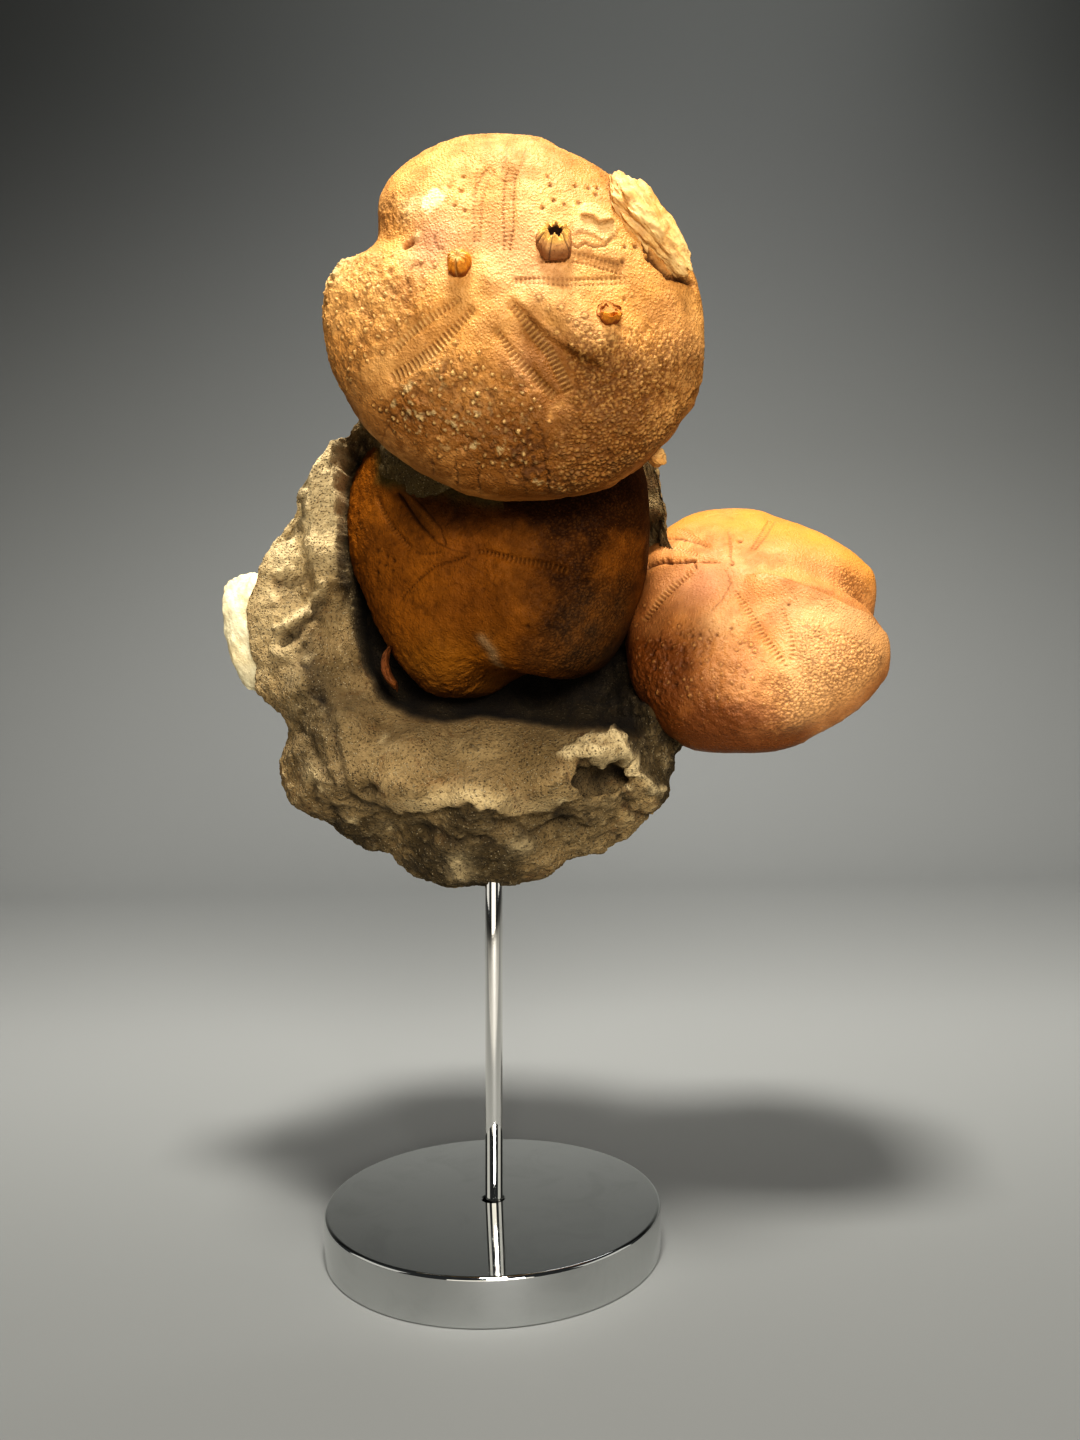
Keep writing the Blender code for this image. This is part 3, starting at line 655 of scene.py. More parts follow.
def nearestSpots(spots, x, y):
    # for every point: distance to its nearest spot, that spot's size and height
    tree = kdtree.KDTree(len(spots))
    for index, spot in enumerate(spots):
        tree.insert((spot[0], spot[1], 0.0), index)
    tree.balance()
    sizes = np.array([spot[2:] for spot in spots])
    found = [tree.find((a, b, 0.0)) for a, b in zip(x.tolist(), y.tolist())]
    which = np.array([f[1] for f in found])
    return np.array([f[2] for f in found]), sizes[which, 0], sizes[which, 1]


def poreRow(x, y, row, warp):
    # one row of a petal: a shallow groove with a comb of slots, two lines of dots, or one line
    corners, kind, across, depth, sink = row
    away, length, side, total = chainLine(x, y, corners)
    ends = smoothStep(0.0, 1.2, length) * (1.0 - smoothStep(total - 1.2, total, length))
    taper = 0.55 + 0.45 * smoothStep(0.0, 0.4 * total, length)
    wide = abs(across) * taper
    pitch = 0.92 if kind == "comb" else 0.85
    count = length / pitch + 0.1 * warp
    phase = (count + 0.1 * np.sin(np.floor(count) * 12.9898)) % 1.0 - 0.5
    groove = bump(away, wide * 0.62) * ends
    if kind == "comb":
        band = 1.0 - smoothStep(wide * 0.28, wide * 0.5, np.abs(side))
        slot = bump(phase * pitch, 0.25) * band
        inner = np.sign(across) * side
        deeper = 0.65 + 0.55 * smoothStep(-0.2, 0.5, inner / wide)
        height = -sink * groove - depth * slot * deeper * ends
        rib = bump(np.abs(phase) * pitch - 0.5 * pitch, 0.26) * band * ends
        height += 0.14 * rib
        return height, slot * ends * np.clip(0.3 + 0.6 * deeper * depth, 0, 0.8), rib, groove
    if kind == "dots":
        hole = bump(np.hypot(phase * pitch, np.abs(side) - 0.5 * wide), 0.27)
        within = 1.0 - smoothStep(0.4 * wide, 0.5 * wide, np.abs(side))
        link = 0.3 * bump(phase * pitch, 0.2) * within
    else:
        hole = bump(np.hypot(phase * pitch, side), 0.26)
        link = 0.35 * bump(side, 0.22)
    mark = np.maximum(hole, link) * ends
    return -sink * groove - depth * mark, 0.75 * mark, np.zeros(len(x)), groove


def fineForms(spec, x, y, points, seed):
    # pore rows, bosses, pits and cracks; heights and what they do to the colour
    height = np.zeros(len(x))
    hollow = np.zeros(len(x))
    boss = np.zeros(len(x))
    nearRow = np.zeros(len(x))
    warp = softNoise(points * 1.1, seed + 3)
    for row in spec["rows"]:
        add, dark, rib, groove = poreRow(x, y, row, warp)
        height += add
        # the slots' dark is painted shade in them; the ribs between go into boss as painted highlight
        hollow = np.maximum(hollow, dark)
        boss = np.maximum(boss, 0.45 * rib)
        nearRow = np.maximum(nearRow, groove)
    for corners, tall, wide in spec["walls"]:
        _, length, side, total = chainLine(x, y, corners)
        side = side * (1 if wide > 0 else -1)
        ends = smoothStep(-0.5, 4.0, length) * (1 - smoothStep(total - 4, total, length))
        fade = np.exp(-np.maximum(side, 0) / abs(wide))
        height += tall * smoothStep(-0.5, 0.7, side) * fade * ends
    free = 1.0 - smoothStep(0.25, 0.6, nearRow)
    random = np.random.default_rng(seed)
    scale = spec.get("bossSize", 1.0) * 0.4
    grown = [(a, b, scale * random.uniform(0.75, 1.2), scale * random.uniform(0.7, 1.15))
             for a, b in spec["bosses"]]
    wobble = 0.16 * np.stack([softNoise(points * 2.2, seed + 6), softNoise(points * 2.2, seed + 7)])
    away, size, tall = nearestSpots(scatterSpots(spec["tubercles"], grown, seed),
                                    x + wobble[0], y + wobble[1])
    top = dome(away, size) * free
    ring = bump(away - size * 1.4, size * 0.5) * free
    height += tall * top - tall * 0.3 * ring
    # pale bead tops are partly painted highlight; the dark ring round each bead is painted shade
    boss = np.maximum(boss, smoothStep(0.25, 0.9, top) * np.clip(tall * 2.2, 0, 0.8))
    hollow = np.maximum(hollow, ring * np.clip(tall * 1.5, 0, 0.6))
    holes = [(a, b, 0.42 * random.uniform(0.7, 1.2), 0.5) for a, b in spec["pits"]]
    away, size, deep = nearestSpots(holes, x + wobble[1], y + wobble[0])
    pit = bump(away, size)
    height -= deep * pit
    # darker in pits and cracks: painted shade with some dirt
    hollow = np.maximum(hollow, 0.9 * pit)
    ragged = 0.3 * softNoise(points * 1.4, seed + 5)
    for corners, wide, deep in spec["cracks"]:
        line = lineMark(x + ragged, y + ragged, corners, wide)
        height -= deep * line
        hollow = np.maximum(hollow, line * min(1.0, 0.35 + deep))
    return height, hollow, boss, nearRow


def worldAxes(spec):
    turn, tilt, roll = (math.radians(value) for value in spec["facing"])
    zAxis = np.array((math.cos(tilt) * math.sin(turn), -math.cos(tilt) * math.cos(turn),
                      math.sin(tilt)))
    right = np.array((math.cos(turn), math.sin(turn), 0.0))
    xAxis = math.cos(roll) * right + math.sin(roll) * np.cross(zAxis, right)
    return np.stack([xAxis, np.cross(zAxis, xAxis), zAxis])


def buildUrchin(name, spec, material, seed, zones):
    def wanted(direction):
        return direction.z > 0.07
    mesh = ballMesh(name, 7, wanted)
    directions = unit(readPoints(mesh))
    # crowd the points towards the petals' side
    down = np.arccos(np.clip(directions[:, 2], -1, 1))
    newDown = np.pi * (down / np.pi) ** 1.1
    shrink = np.sin(newDown) / np.maximum(np.sin(down), 1e-9)
    directions = np.stack([directions[:, 0] * shrink, directions[:, 1] * shrink,
                           np.cos(newDown)], -1)
    points = urchinSurface(spec, directions)
    normals = urchinNormals(spec, directions, points)
    x, y = points[:, 0] - spec["apex"][0], points[:, 1] - spec["apex"][1]
    top = smoothStep(-0.05, 0.25, directions[:, 2])
    base = 1.0 - smoothStep(-0.2, 0.1, directions[:, 2])
    baseHeight, mouth, plastron = baseForms(spec, points)
    vent = np.array((-math.cos(math.radians(8)), 0.0, -math.sin(math.radians(8))))
    ventMask = bump(np.arccos(np.clip(directions @ vent, -1, 1)), 0.11)
    offset = Vector((spec["radius"], 0, 0))
    wander = np.array([noise.fractal(Vector(p) * 0.06 + offset, 1.0, 2.0, 3) for p in points])
    height = top * topForms(spec, x, y) + base * baseHeight - 1.6 * ventMask + 0.45 * wander
    fine, hollow, boss, nearRow = fineForms(spec, x, y, points, seed)
    height += top * fine
    hollow, boss = hollow * top, boss * top
    look = zones(spec, x, y, points, top, seed)
    # leathery granules, flattened the way they lie, and pitted ground between the bosses; the dark
    # between granules and in the low ground is painted shade, the paler granule tops painted highlight
    axes = worldAxes(spec)
    flattened = (points @ axes) * np.array((1.0, 1.0, 1.45)) / spec["granule"]
    first, second, own = cellNoise(flattened, seed)
    granule = smoothStep(0.0, 0.4, second - first) * (0.65 + 0.45 * own)
    leather = np.clip(look.pop("leather"), 0, 1) * (1 - 0.8 * smoothStep(0.15, 0.5, nearRow))
    height += granule * (0.014 + spec["leather"] * leather)
    hollow = np.maximum(hollow, leather * 0.6 * smoothStep(0.2, 0.03, second - first))
    boss = np.maximum(boss, 0.4 * leather * smoothStep(0.4, 0.8, granule))
    pocks = np.clip(look.pop("pocked"), 0, 1) * (1 - smoothStep(0.1, 0.5, nearRow))
    ground = layeredNoise(points / 1.5, 3, 0.6, seed + 12)
    height += 0.75 * pocks * ground
    hollow = np.maximum(hollow, pocks * 0.75 * smoothStep(-0.12, -0.5, ground) * (boss < 0.5))
    first, second, own = cellNoise(points / 2.1, seed + 9)
    knob = bump(first, 0.3) * base * (0.4 + 0.6 * plastron)
    height += 0.35 * knob
    boss = np.maximum(boss, knob * 0.7)
    hollow = np.maximum(hollow, 0.8 * base * mouth + 0.5 * ventMask)
    height += spec["uneven"] * layeredNoise(points / 5.0, 4, 0.55, seed + 20)
    height += look.pop("height", 0.0)
    # bead tops laid in cream: partly their own colour, partly painted highlight
    look["cream"] = np.maximum(look["cream"], boss * look.pop("beads", 0.0))
    hollow = np.maximum(hollow, look.pop("hollow", 0.0))
    world = (points + normals * height[:, None]) @ axes + np.array(spec["centre"])
    writePoints(mesh, fitInside(world, spec["node"]) * mm)
    addMask(mesh, "hollow", hollow)
    addMask(mesh, "boss", boss)
    for key, values in look.items():
        addMask(mesh, key, values)
    return addPiece(name, mesh, spec["node"], material)


def upperZones(spec, x, y, points, top, seed):
    broad = layeredNoise(points / 9.0, 4, 0.55, seed + 30)
    rough = layeredNoise(points / 1.6, 3, 0.6, seed + 31)
    flat = np.hypot(x, y)
    angle = np.degrees(np.arctan2(y, x))
    below = y - 0.58 * x - 8.5
    leather = (smoothStep(-1.0, 4.0, below) * smoothStep(-14.0, -19.0, x + 0.35 * y)
               * (1 - smoothStep(30, 34, y)))
    leather = np.maximum(leather, 0.25 * smoothStep(24, 34, flat) * (y < 5))
    lobe = smoothStep(2, 12, angle) * (1 - smoothStep(52, 64, angle)) * smoothStep(11, 16, flat)
    wedge = (smoothStep(66, 76, angle) * (1 - smoothStep(128, 142, angle))
             * smoothStep(12, 20, flat) * (1 - smoothStep(28, 33, y - 0.1 * x)))
    corner = roundMark(x, y, 25, -4, 4.0)
    scar = bump(np.hypot(x - 18.8, y + 8.8) + 1.3 * rough, 2.2)
    flake = insidePatch(x + 0.8 * rough, y - 0.8 * rough,
                        ((-8.2, -14.8), (-9.4, -16.2), (-12.5, -16.4), (-14.5, -16.2),
                         (-15.1, -20.0),
                         (-12.7, -21.7), (-9.3, -22.5), (-7.2, -21.1)), 0.3)
    scarRim = bump(np.hypot(x - 22.1, y + 7.0) + 1.5 * rough, 2.2)
    crust = np.clip(bump(np.hypot(x - 33.5, (y - 9) / 1.3), 4.0) * (0.8 + 1.6 * rough), 0, 1)
    grains = np.clip(wedge * smoothStep(16, 27, y) * smoothStep(0.2, 0.5, rough) * 1.2, 0, 1)
    away, along, side, _ = chainLine(x, y, spec["walls"][0][0])
    valley = bump(side + 1.6, 3.0) * smoothStep(3, 8, along) * top
    hole = lineMark(x, y, ((20.3, 0.7), (19.4, -0.3)), 0.55)
    holeLump = roundMark(x, y, 18.6, -1.8, 0.7)
    worm = lineMark(x, y, ((-8.3, -18.9), (-9.8, -19.6), (-11.4, -19.1), (-13.0, -20.5)), 0.5)
    # lower and right mark the lower rim and the right side, laid in painted shade below
    lower = smoothStep(15, 30, y - 0.15 * x) * (0.9 + 0.8 * rough) * top
    right = (smoothStep(7, 20, -x) * smoothStep(2, 12, below) * (1.0 + 1.3 * rough + 0.5 * broad)
             * top)
    # ground: the low places of the pitted ground between the beads, darkened as painted shade
    ground = (smoothStep(-0.02, -0.35, rough)
              * (0.55 * right + 0.5 * wedge + 0.25 * lobe + 0.15 * leather))
    petalShade = sum(lineMark(x, y, corners, 1.7) * smoothStep(2, 6, flat)
                     for corners in (((-2.5, 7.0), (-7.0, 11.0), (-11.0, 15.0)),
                                     ((2.5, 7.5), (7.0, 15.0)),
                                     ((-10.0, 7.5), (-18.5, 13.0)), ((3.6, 5.6), (11.5, 20.5))))
    apical = sum(roundMark(x, y, a, b, 0.55)
                 for a, b in ((1.6, -1.5), (1.5, 0.1), (-0.1, -0.4), (2.5, -0.2), (0.4, -2.2)))
    rose = (0.9 * roundMark(x, y, 15, -2, 6.0) + 0.55 * roundMark(x, y, -3, -7, 8.0)
            + 0.6 * roundMark(x, y, -15, 9, 5.0) + 0.3 * broad)
    return {
        "leather": leather * top, "pocked": np.clip(0.6 * lobe + 0.95 * wedge + corner, 0, 1) * top,
        "rose": np.clip(rose, 0, 1) * top,
        "cream": np.clip(0.8 * smoothStep(0.25, 0.6, scar) + 0.4 * scarRim + 0.5 * crust
                         + 0.35 * grains + 0.35 * holeLump + 0.2 * flake, 0, 1),
        "beads": 0.55 * wedge * (0.6 + rough) + 0.2 * lobe,
        # shade here is mostly painted shade: lower rim, right side, the valley by the wall, the bead
        # wedge, the petals' flanks, the underside, a darker top where the light falls strongest and a few
        # darker spots; broad adds random tone and the worm line its own dark colour
        "shade": np.clip(0.8 * lower + 0.75 * right + 0.8 * valley + 0.4 * wedge * (0.7 + rough)
                         + 0.3 * broad * top + 0.6 * (1 - top) + 0.25 * np.clip(petalShade, 0, 1)
                         + 0.5 * smoothStep(-15, -28, y)
                         + 0.4 * roundMark(x, y, 26, -3, 4.5) + 0.5 * roundMark(x, y, -30, 8, 6.0)
                         + 0.3 * roundMark(x, y, -27, 15, 7.0) + 1.5 * worm, 0, 1),
        "rust": np.clip(worm, 0, 1),
        "hollow": np.clip(np.maximum(0.95 * hole, ground), 0, 1),
        "height": (0.85 * worm - 1.3 * hole + 0.5 * holeLump + 0.7 * crust * (0.4 + rough)
                   + 0.2 * smoothStep(0.25, 0.6, scar) + 0.25 * scarRim * rough + 0.15 * grains
                   - 0.7 * valley + 0.22 * apical + 0.32 * flake
                   + 0.5 * (leather + wedge) * layeredNoise(points / 3.2, 3, 0.6, seed + 33)),
    }


def middleZones(spec, x, y, points, top, seed):
    broad = layeredNoise(points / 10.0, 4, 0.55, seed + 30)
    patch = bump(chainLine(x, y, ((19.6, 4.4), (22.1, 5.8), (25.1, 5.2)))[0] + 0.5 * broad, 1.2)
    rough = layeredNoise(points / 2.2, 4, 0.6, seed + 31)
    plate = 0.6 * lineMark(x, y, ((-14.5, -9.0), (-9.0, -4.8), (-5.0, -2.2)), 1.0)
    rim = smoothStep(20, 30, np.hypot(x - 3, y)) * smoothStep(5, 20, x)
    purple = smoothStep(8, 26, y + 0.2 * x)
    world = points @ worldAxes(spec) + np.array(spec["centre"])
    across, up = world[:, 0], world[:, 2]
    cement = (smoothStep(0.0, 3.0, up - 167.5 + 0.28 * (across + 18) * (across < 6) + 2.5 * broad)
              * smoothStep(-25, -21, across + broad) * (1 - smoothStep(4, 14, across)) * top)
    return {
        "leather": np.clip(0.5 * purple + 0.3 * rim, 0, 1) * top,
        "pocked": np.clip(0.5 * smoothStep(24, 32, x) + 0.4 * (1 - purple), 0, 1) * top,
        "rose": np.clip(0.25 * roundMark(x, y, 1, 2, 9.0) + 0.45 * plate + 0.2 * broad, 0, 1),
        "cream": np.clip(0.4 * patch + 0.05 * rim * (1 + broad), 0, 1),
        # shade: painted shadow of the upper urchin across the top, painted shade underneath, and the
        # darker purple-brown right side, partly own colour and partly painted shade; broad and rough add
        # random tone
        "shade": np.clip(0.7 * purple * (0.9 + 0.8 * broad)
                         + 0.9 * smoothStep(152, 167, up + 3 * broad) * smoothStep(-22, -12, across)
                         + 0.3 * broad + 0.2 * (1 - top) + 0.3 * rough, 0, 1),
        # rust: the plate's own orange, and a lighter lower left that is painted light
        "rust": np.clip(0.35 * plate + 0.75 * smoothStep(142, 128, up)
                        * smoothStep(10, 2, across) * (1 + broad), 0, 1),
        "cement": cement,
        "height": 0.12 * plate + 0.1 * patch + cement * (0.5 + 0.6 * broad) + 0.22 * rough * top,
    }


def sideZones(spec, x, y, points, top, seed):
    broad = layeredNoise(points / 8.0, 4, 0.55, seed + 30)
    edge = y + 0.62 * x
    leather = smoothStep(12.0, 17.0, x) * smoothStep(-11.0, -15.0, y + 0.1 * x)
    leather = np.maximum(leather, smoothStep(-24, -28, y) * smoothStep(4, 12, x))
    leather = np.maximum(leather, 0.8 * smoothStep(21, 26, x) * smoothStep(-7, -3, y) * (y < 4))
    darker = roundMark(x, y, -13.5, -20.5, 6.0) * (1 + 0.6 * broad)
    _, along, side, _ = chainLine(x, y, spec["walls"][0][0])
    fold = bump(side - 1.2, 2.2) * smoothStep(6, 14, along) * top
    band = smoothStep(-30, -34, y) * smoothStep(-12, -2, x)
    return {
        "leather": leather * top,
        "pocked": np.clip(0.4 * roundMark(x, y, -12, -20, 7.0)
                          + 0.45 * smoothStep(-14, -19, y) * (1 - smoothStep(6, 12, x)),
                          0, 1) * top,
        "rose": np.clip(0.85 * roundMark(x, y, -5.5, -4, 6.5) + 0.3 * broad * top
                        + 0.4 * band, 0, 1),
        "cream": np.clip(0.3 * bump(np.hypot(x + 1, (y + 15) * 1.3), 5.0)
                         + 0.3 * smoothStep(8, 16, x) * smoothStep(-6, -13, y), 0, 1) * top,
        # shade: painted shade on the left side, the lower left patch, the fold, the bottom band and the
        # underside; broad adds random tone
        "shade": np.clip(0.6 * darker + 0.45 * fold + 0.5 * band
                         + 0.7 * smoothStep(-10, -25, x + 0.2 * y)
                         + 0.25 * smoothStep(-20, -32, edge)
                         + 0.35 * broad + 0.3 * (1 - top)
                         + 0.45 * smoothStep(-12, -22, y) * smoothStep(8, -6, x), 0, 1),
        "rust": np.clip(0.5 * smoothStep(6, 20, y + 0.3 * x) * (1 + broad), 0, 1) * top,
        "height": -0.9 * fold,
    }


# main, second, deep (also laid as painted shade), rose, cream, wornAndLit (paler wear and painted
# highlight), rust (own orange, and painted light on the middle urchin) and pit (painted shade with some
# dirt in hollows) colours, then finish
tanLooks = {"main": (0.67, 0.32, 0.084), "second": (0.74, 0.40, 0.135), "deep": (0.25, 0.100, 0.014),
            "rose": (0.66, 0.33, 0.165), "cream": (0.86, 0.72, 0.38), "wornAndLit": (0.84, 0.54, 0.20),
            "rust": (0.50, 0.17, 0.012), "pit": (0.07, 0.024, 0.005), "patchiness": 60.0,
            "mottle": 0.5, "shadeAndDirt": 0.96, "gloss": (0.48, 0.66), "bump": 0.6, "shine": 0.35}
# darker than the middle urchin's own brown alone: partly painted shade for the shade it sits in under the
# upper urchin
brownLooks = {"main": (0.205, 0.074, 0.008), "second": (0.27, 0.10, 0.010),
              "deep": (0.038, 0.012, 0.001), "rose": (0.22, 0.078, 0.018), "cream": (0.36, 0.30, 0.19),
              "wornAndLit": (0.36, 0.16, 0.035), "rust": (0.28, 0.115, 0.012), "cement": (0.10, 0.07, 0.02),
              "pit": (0.02, 0.008, 0.003), "patchiness": 90.0, "mottle": 0.3, "shadeAndDirt": 0.98,
              "gloss": (0.42, 0.6), "bump": 0.6, "shine": 0.08}
orangeLooks = {"main": (0.57, 0.235, 0.062), "second": (0.68, 0.325, 0.115), "deep": (0.20, 0.064, 0.010),
               "rose": (0.64, 0.29, 0.135), "cream": (0.82, 0.56, 0.27), "wornAndLit": (0.84, 0.47, 0.16),
               "rust": (0.76, 0.34, 0.05), "pit": (0.06, 0.02, 0.004), "patchiness": 60.0,
               "mottle": 0.4, "shadeAndDirt": 0.94, "gloss": (0.44, 0.62), "bump": 0.5, "shine": 0.4}

# name, form, material, looks, seed, zones
for name, spec, surface, looks, seed, zones in (
        ("upperUrchinShell", upperUrchin, "tanFossilShell", tanLooks, 3, upperZones),
        ("middleUrchinShell", middleUrchin, "brownFossilShell", brownLooks, 41, middleZones),
        ("sideUrchinShell", sideUrchin, "orangeFossilShell", orangeLooks, 77, sideZones)):
    buildUrchin(name, spec, buildShellMaterial(surface, looks), seed, zones)
print("urchins built")

# ---- the sandstone ----
sandstone = {
    "centre": (-3.0, 134.0), "edgeY": 5.0,
    "outline": ((-27, 188), (-34, 178), (-41, 169), (-44, 164), (-50, 155), (-53, 148),
                (-54, 137), (-52, 128), (-47, 120), (-45, 114), (-47, 108), (-46, 102),
                (-45, 98), (-34, 93), (-22, 88), (-9, 80), (4, 79), (18, 84), (31, 90),
                (41, 98), (44, 108), (47, 116), (51, 124), (54, 135), (52, 147), (43, 158),
                (41, 166), (41, 174), (36, 190), (26, 202), (8, 209), (-8, 207), (-20, 199)),
    "front": ((-34, 184, 8), (-41, 172, 8), (-45, 157, 4), (-49, 146, 4), (-43, 140, 0),
              (-50, 128, 4), (-42, 124, -6), (-32, 116, -15), (-42, 106, -9),
              (-38, 152, 14), (-37, 165, 14), (-34, 140, 9), (-29, 129, 6), (-31, 176, 10),
              (-30, 102, -19), (-16, 103, -26), (0, 101, -28), (16, 103, -26),
              (25, 112, -26), (30, 114, -25), (35, 103, -16), (34, 93, -5),
              (36, 117, -9), (41, 108, -6), (-17, 112, -17), (-2, 112, -15),
              (13, 112, -18), (-19, 119, -3), (-3, 117, -3), (13, 117, -4), (25, 118, -9),
              (-19, 125, 10), (-3, 123, 10), (13, 123, 10), (27, 124, 6),
              (-18, 91, -15), (0, 88, -15), (16, 90, -13), (-30, 94, -10),
              (0, 145, 16), (20, 145, 16), (-20, 145, 14), (42, 167, 13), (44, 140, 12),
              (-25, 166, 12), (-28, 181, -2), (-20, 176, -9), (-10, 170, -18),
              (4, 169, -19), (12, 171, -16), (20, 172, 2), (5, 160, 12), (-10, 160, 12),
              (0, 196, -26), (-16, 192, -20), (18, 194, -24), (0, 184, -22),
              (31, 180, 4)),
    "back": ((0, 88, 22), (-30, 100, 22), (30, 100, 23), (0, 118, 34), (-40, 138, 26),
             (40, 135, 28), (0, 145, 40), (-30, 168, 53), (26, 160, 40), (0, 180, 42),
             (-24, 190, 44), (26, 188, 30), (0, 200, 28), (-38, 152, 44)),
}


def nearbyDepth(places, x, z, spread):
    places = np.array(places, dtype=float)
    away = (x[:, None] - places[:, 0]) ** 2 + (z[:, None] - places[:, 1]) ** 2
    weight = 1.0 / (away + spread) ** 2
    return (weight * places[:, 2]).sum(1) / weight.sum(1)


def rockBody(directions):
    spec = sandstone
    cx, cz = spec["centre"]
    angle = np.arctan2(directions[:, 2], directions[:, 0])
    polar = sorted((math.atan2(z - cz, x - cx), math.hypot(x - cx, z - cz))
                   for x, z in spec["outline"])
    turns, reaches = zip(*polar)
    reach = np.minimum(np.hypot(directions[:, 0], directions[:, 2]), 1.0) ** 0.8
    ring = np.interp(angle, turns, reaches, period=2 * math.pi) * reach
    x, z = cx + ring * np.cos(angle), cz + ring * np.sin(angle)
    isFront = directions[:, 1] < 0
    face = np.where(isFront, nearbyDepth(spec["front"], x, z, 24.0),
                    nearbyDepth(spec["back"], x, z, 60.0))
    y = spec["edgeY"] + (face - spec["edgeY"]) * (1.0 - reach ** 3.5) ** 0.6
    pitShape = ((1 - smoothStep(4.5, 6.5, np.abs(x - 26.5)))
                * (1 - smoothStep(2.6, 4.2, np.abs(z - 105.5))))
    y = y + 4.5 * pitShape * isFront
    points = np.stack([x, y, z], -1)
    bowl = (smoothStep(98, 104, z) * (1 - smoothStep(122, 128, z))
            * (1 - smoothStep(28, 36, np.abs(x))))
    rough = 1.0 - 0.8 * bowl * isFront
    lumps = np.array([noise.fractal(Vector(p) * 0.07, 0.8, 2.1, 5) for p in points])
    creases = np.array([noise.turbulence(Vector(p) * 0.11, 2, True) for p in points]) - 0.5
    return points + directions * (rough * (1.5 * lumps + 1.0 * creases))[:, None]


# where the mould, the ledge and the broken places lie, seen from the front
rockMarks = {
    # how far a stretch of the front lies further back, or nearer for less than nothing
    "pushed": {"gap": 12.0, "behind": 11.0, "bare": 13.0, "arm": -8.0},
    # line, width, depth, darkness (painted shade in the groove)
    "grooves": (
        (((-40.5, 135), (-37.9, 128.8), (-36.4, 123.9), (-34.5, 120.4), (-32.5, 117.1),
          (-31.3, 111.9), (-30.1, 106.5), (-29.0, 100.3)), 1.7, 1.0, 0.45),
        (((-37.4, 145.7), (-39.4, 141.6), (-41.7, 138.7), (-45.0, 136.6)), 1.5, 1.8, 0.7),
        (((-39.5, 171.5), (-39.4, 168.1), (-39.2, 165.5), (-41.1, 163.1),
        (-45.0, 160.8)), 1.0, 1.3, 0.6),
        (((-42.6, 117.9), (-37.5, 113.2), (-34.8, 108.6), (-32.8, 104.2)), 0.9, 0.8, 0.4),
        (((-29.0, 100.3), (-25.2, 99.2), (-19.6, 98.2)), 0.9, 1.0, 0.8),
        (((-47.5, 150.5), (-43.0, 150.0), (-39.5, 153.5)), 1.0, 0.7, 0.4),
        (((19.8, 112.6), (23.5, 112.2), (27.2, 112.7)), 0.5, 0.8, 0.8),
        (((3.0, 95.0), (10.0, 92.5), (17.0, 94.0), (24.0, 93.0)), 0.9, 1.1, 0.5),
        (((-14.0, 94.0), (-6.0, 91.5), (2.0, 91.0)), 1.0, 1.0, 0.7),
        (((30.5, 100.5), (33.5, 96.0), (38.3, 95.0)), 0.7, 0.9, 0.7)),
    # line, width, height
    "ridges": (
        (((-36.6, 149.0), (-38.5, 146.6), (-40.0, 143.6), (-42.6, 141.2),
        (-46.0, 139.6)), 1.2, 1.5),
        (((28.9, 114.3), (30.8, 111.0), (34.2, 104.9), (39.0, 100.9)), 1.0, 1.0),
        (((-36.0, 176.0), (-37.6, 172.5)), 1.8, 0.6)),
    # place, size, depth (less than nothing stands out)
    "dents": ((-44.3, 137.0, 1.2, 1.6), (-40.2, 131.3, 0.9, 1.3), (-36.6, 124.2, 1.7, 1.6),
              (-24.6, 102.8, 1.7, 2.2), (-46.4, 134.2, 2.2, -1.1), (-37.0, 106.5, 2.6, -0.9),
              (-33.0, 97.5, 2.4, 1.0), (17.5, 94.6, 3.0, 1.2), (31.3, 102.6, 0.8, -0.7),
              (-45.0, 153.5, 3.0, -0.9), (-48.5, 147.0, 2.0, -0.7), (8.0, 90.0, 2.4, -0.8)),
    # place, size, strength
    "pinkPatches": ((-5.5, 86.3, 2.6, 1.0), (17.2, 99.8, 1.0, 1.0), (31.3, 102.6, 0.8, 1.0),
                    (-35.1, 103.2, 0.8, 0.8), (-21.0, 94.2, 0.8, 0.8), (-39.8, 132.8, 0.8, 0.8),
                    (-21.6, 114.2, 0.8, 0.8), (-29.0, 96.0, 0.8, 0.8)),
    "ledge": ((16.2, 110.4), (20.1, 111.7), (20.7, 113.8), (28.4, 114.2), (30.6, 111.2),
              (34.6, 104.4),
              (33.0, 104.6), (29.1, 108.9), (25.6, 107.6), (22.6, 109.4), (18.8, 108.9)),
    "pit": ((20.0, 106.9), (23.0, 107.6), (25.6, 107.2), (28.6, 107.9), (31.0, 106.0),
            (30.7, 104.0),
            (27.8, 101.4), (22.1, 101.0), (20.1, 103.1)),
    "moreRim": ((-22.0, 98.6), (-16.4, 99.3), (-12.7, 98.7), (-8.9, 100.2), (-4.1, 101.3),
                (-0.2, 100.5),
                (3.4, 99.4), (6.3, 98.0), (10.1, 98.2), (14.7, 98.8), (17.4, 100.4), (20.0, 101.2)),
    "slot": ((-27.0, 184.0), (-29.2, 172.0), (-31.0, 162.0), (-31.2, 154.0), (-30.2, 146.0),
             (-28.0, 138.0),
             (-25.0, 132.0), (-17.0, 124.0)),
    "gap": ((-31.5, 158.0), (-30.5, 141.0), (-28.5, 131.0), (-24.5, 122.8), (-17.0, 118.3),
            (-9.3, 116.7), (-0.8, 117.6), (10.4, 116.3), (18.3, 114.9), (25.9, 114.7),
            (34.0, 113.0)),
}


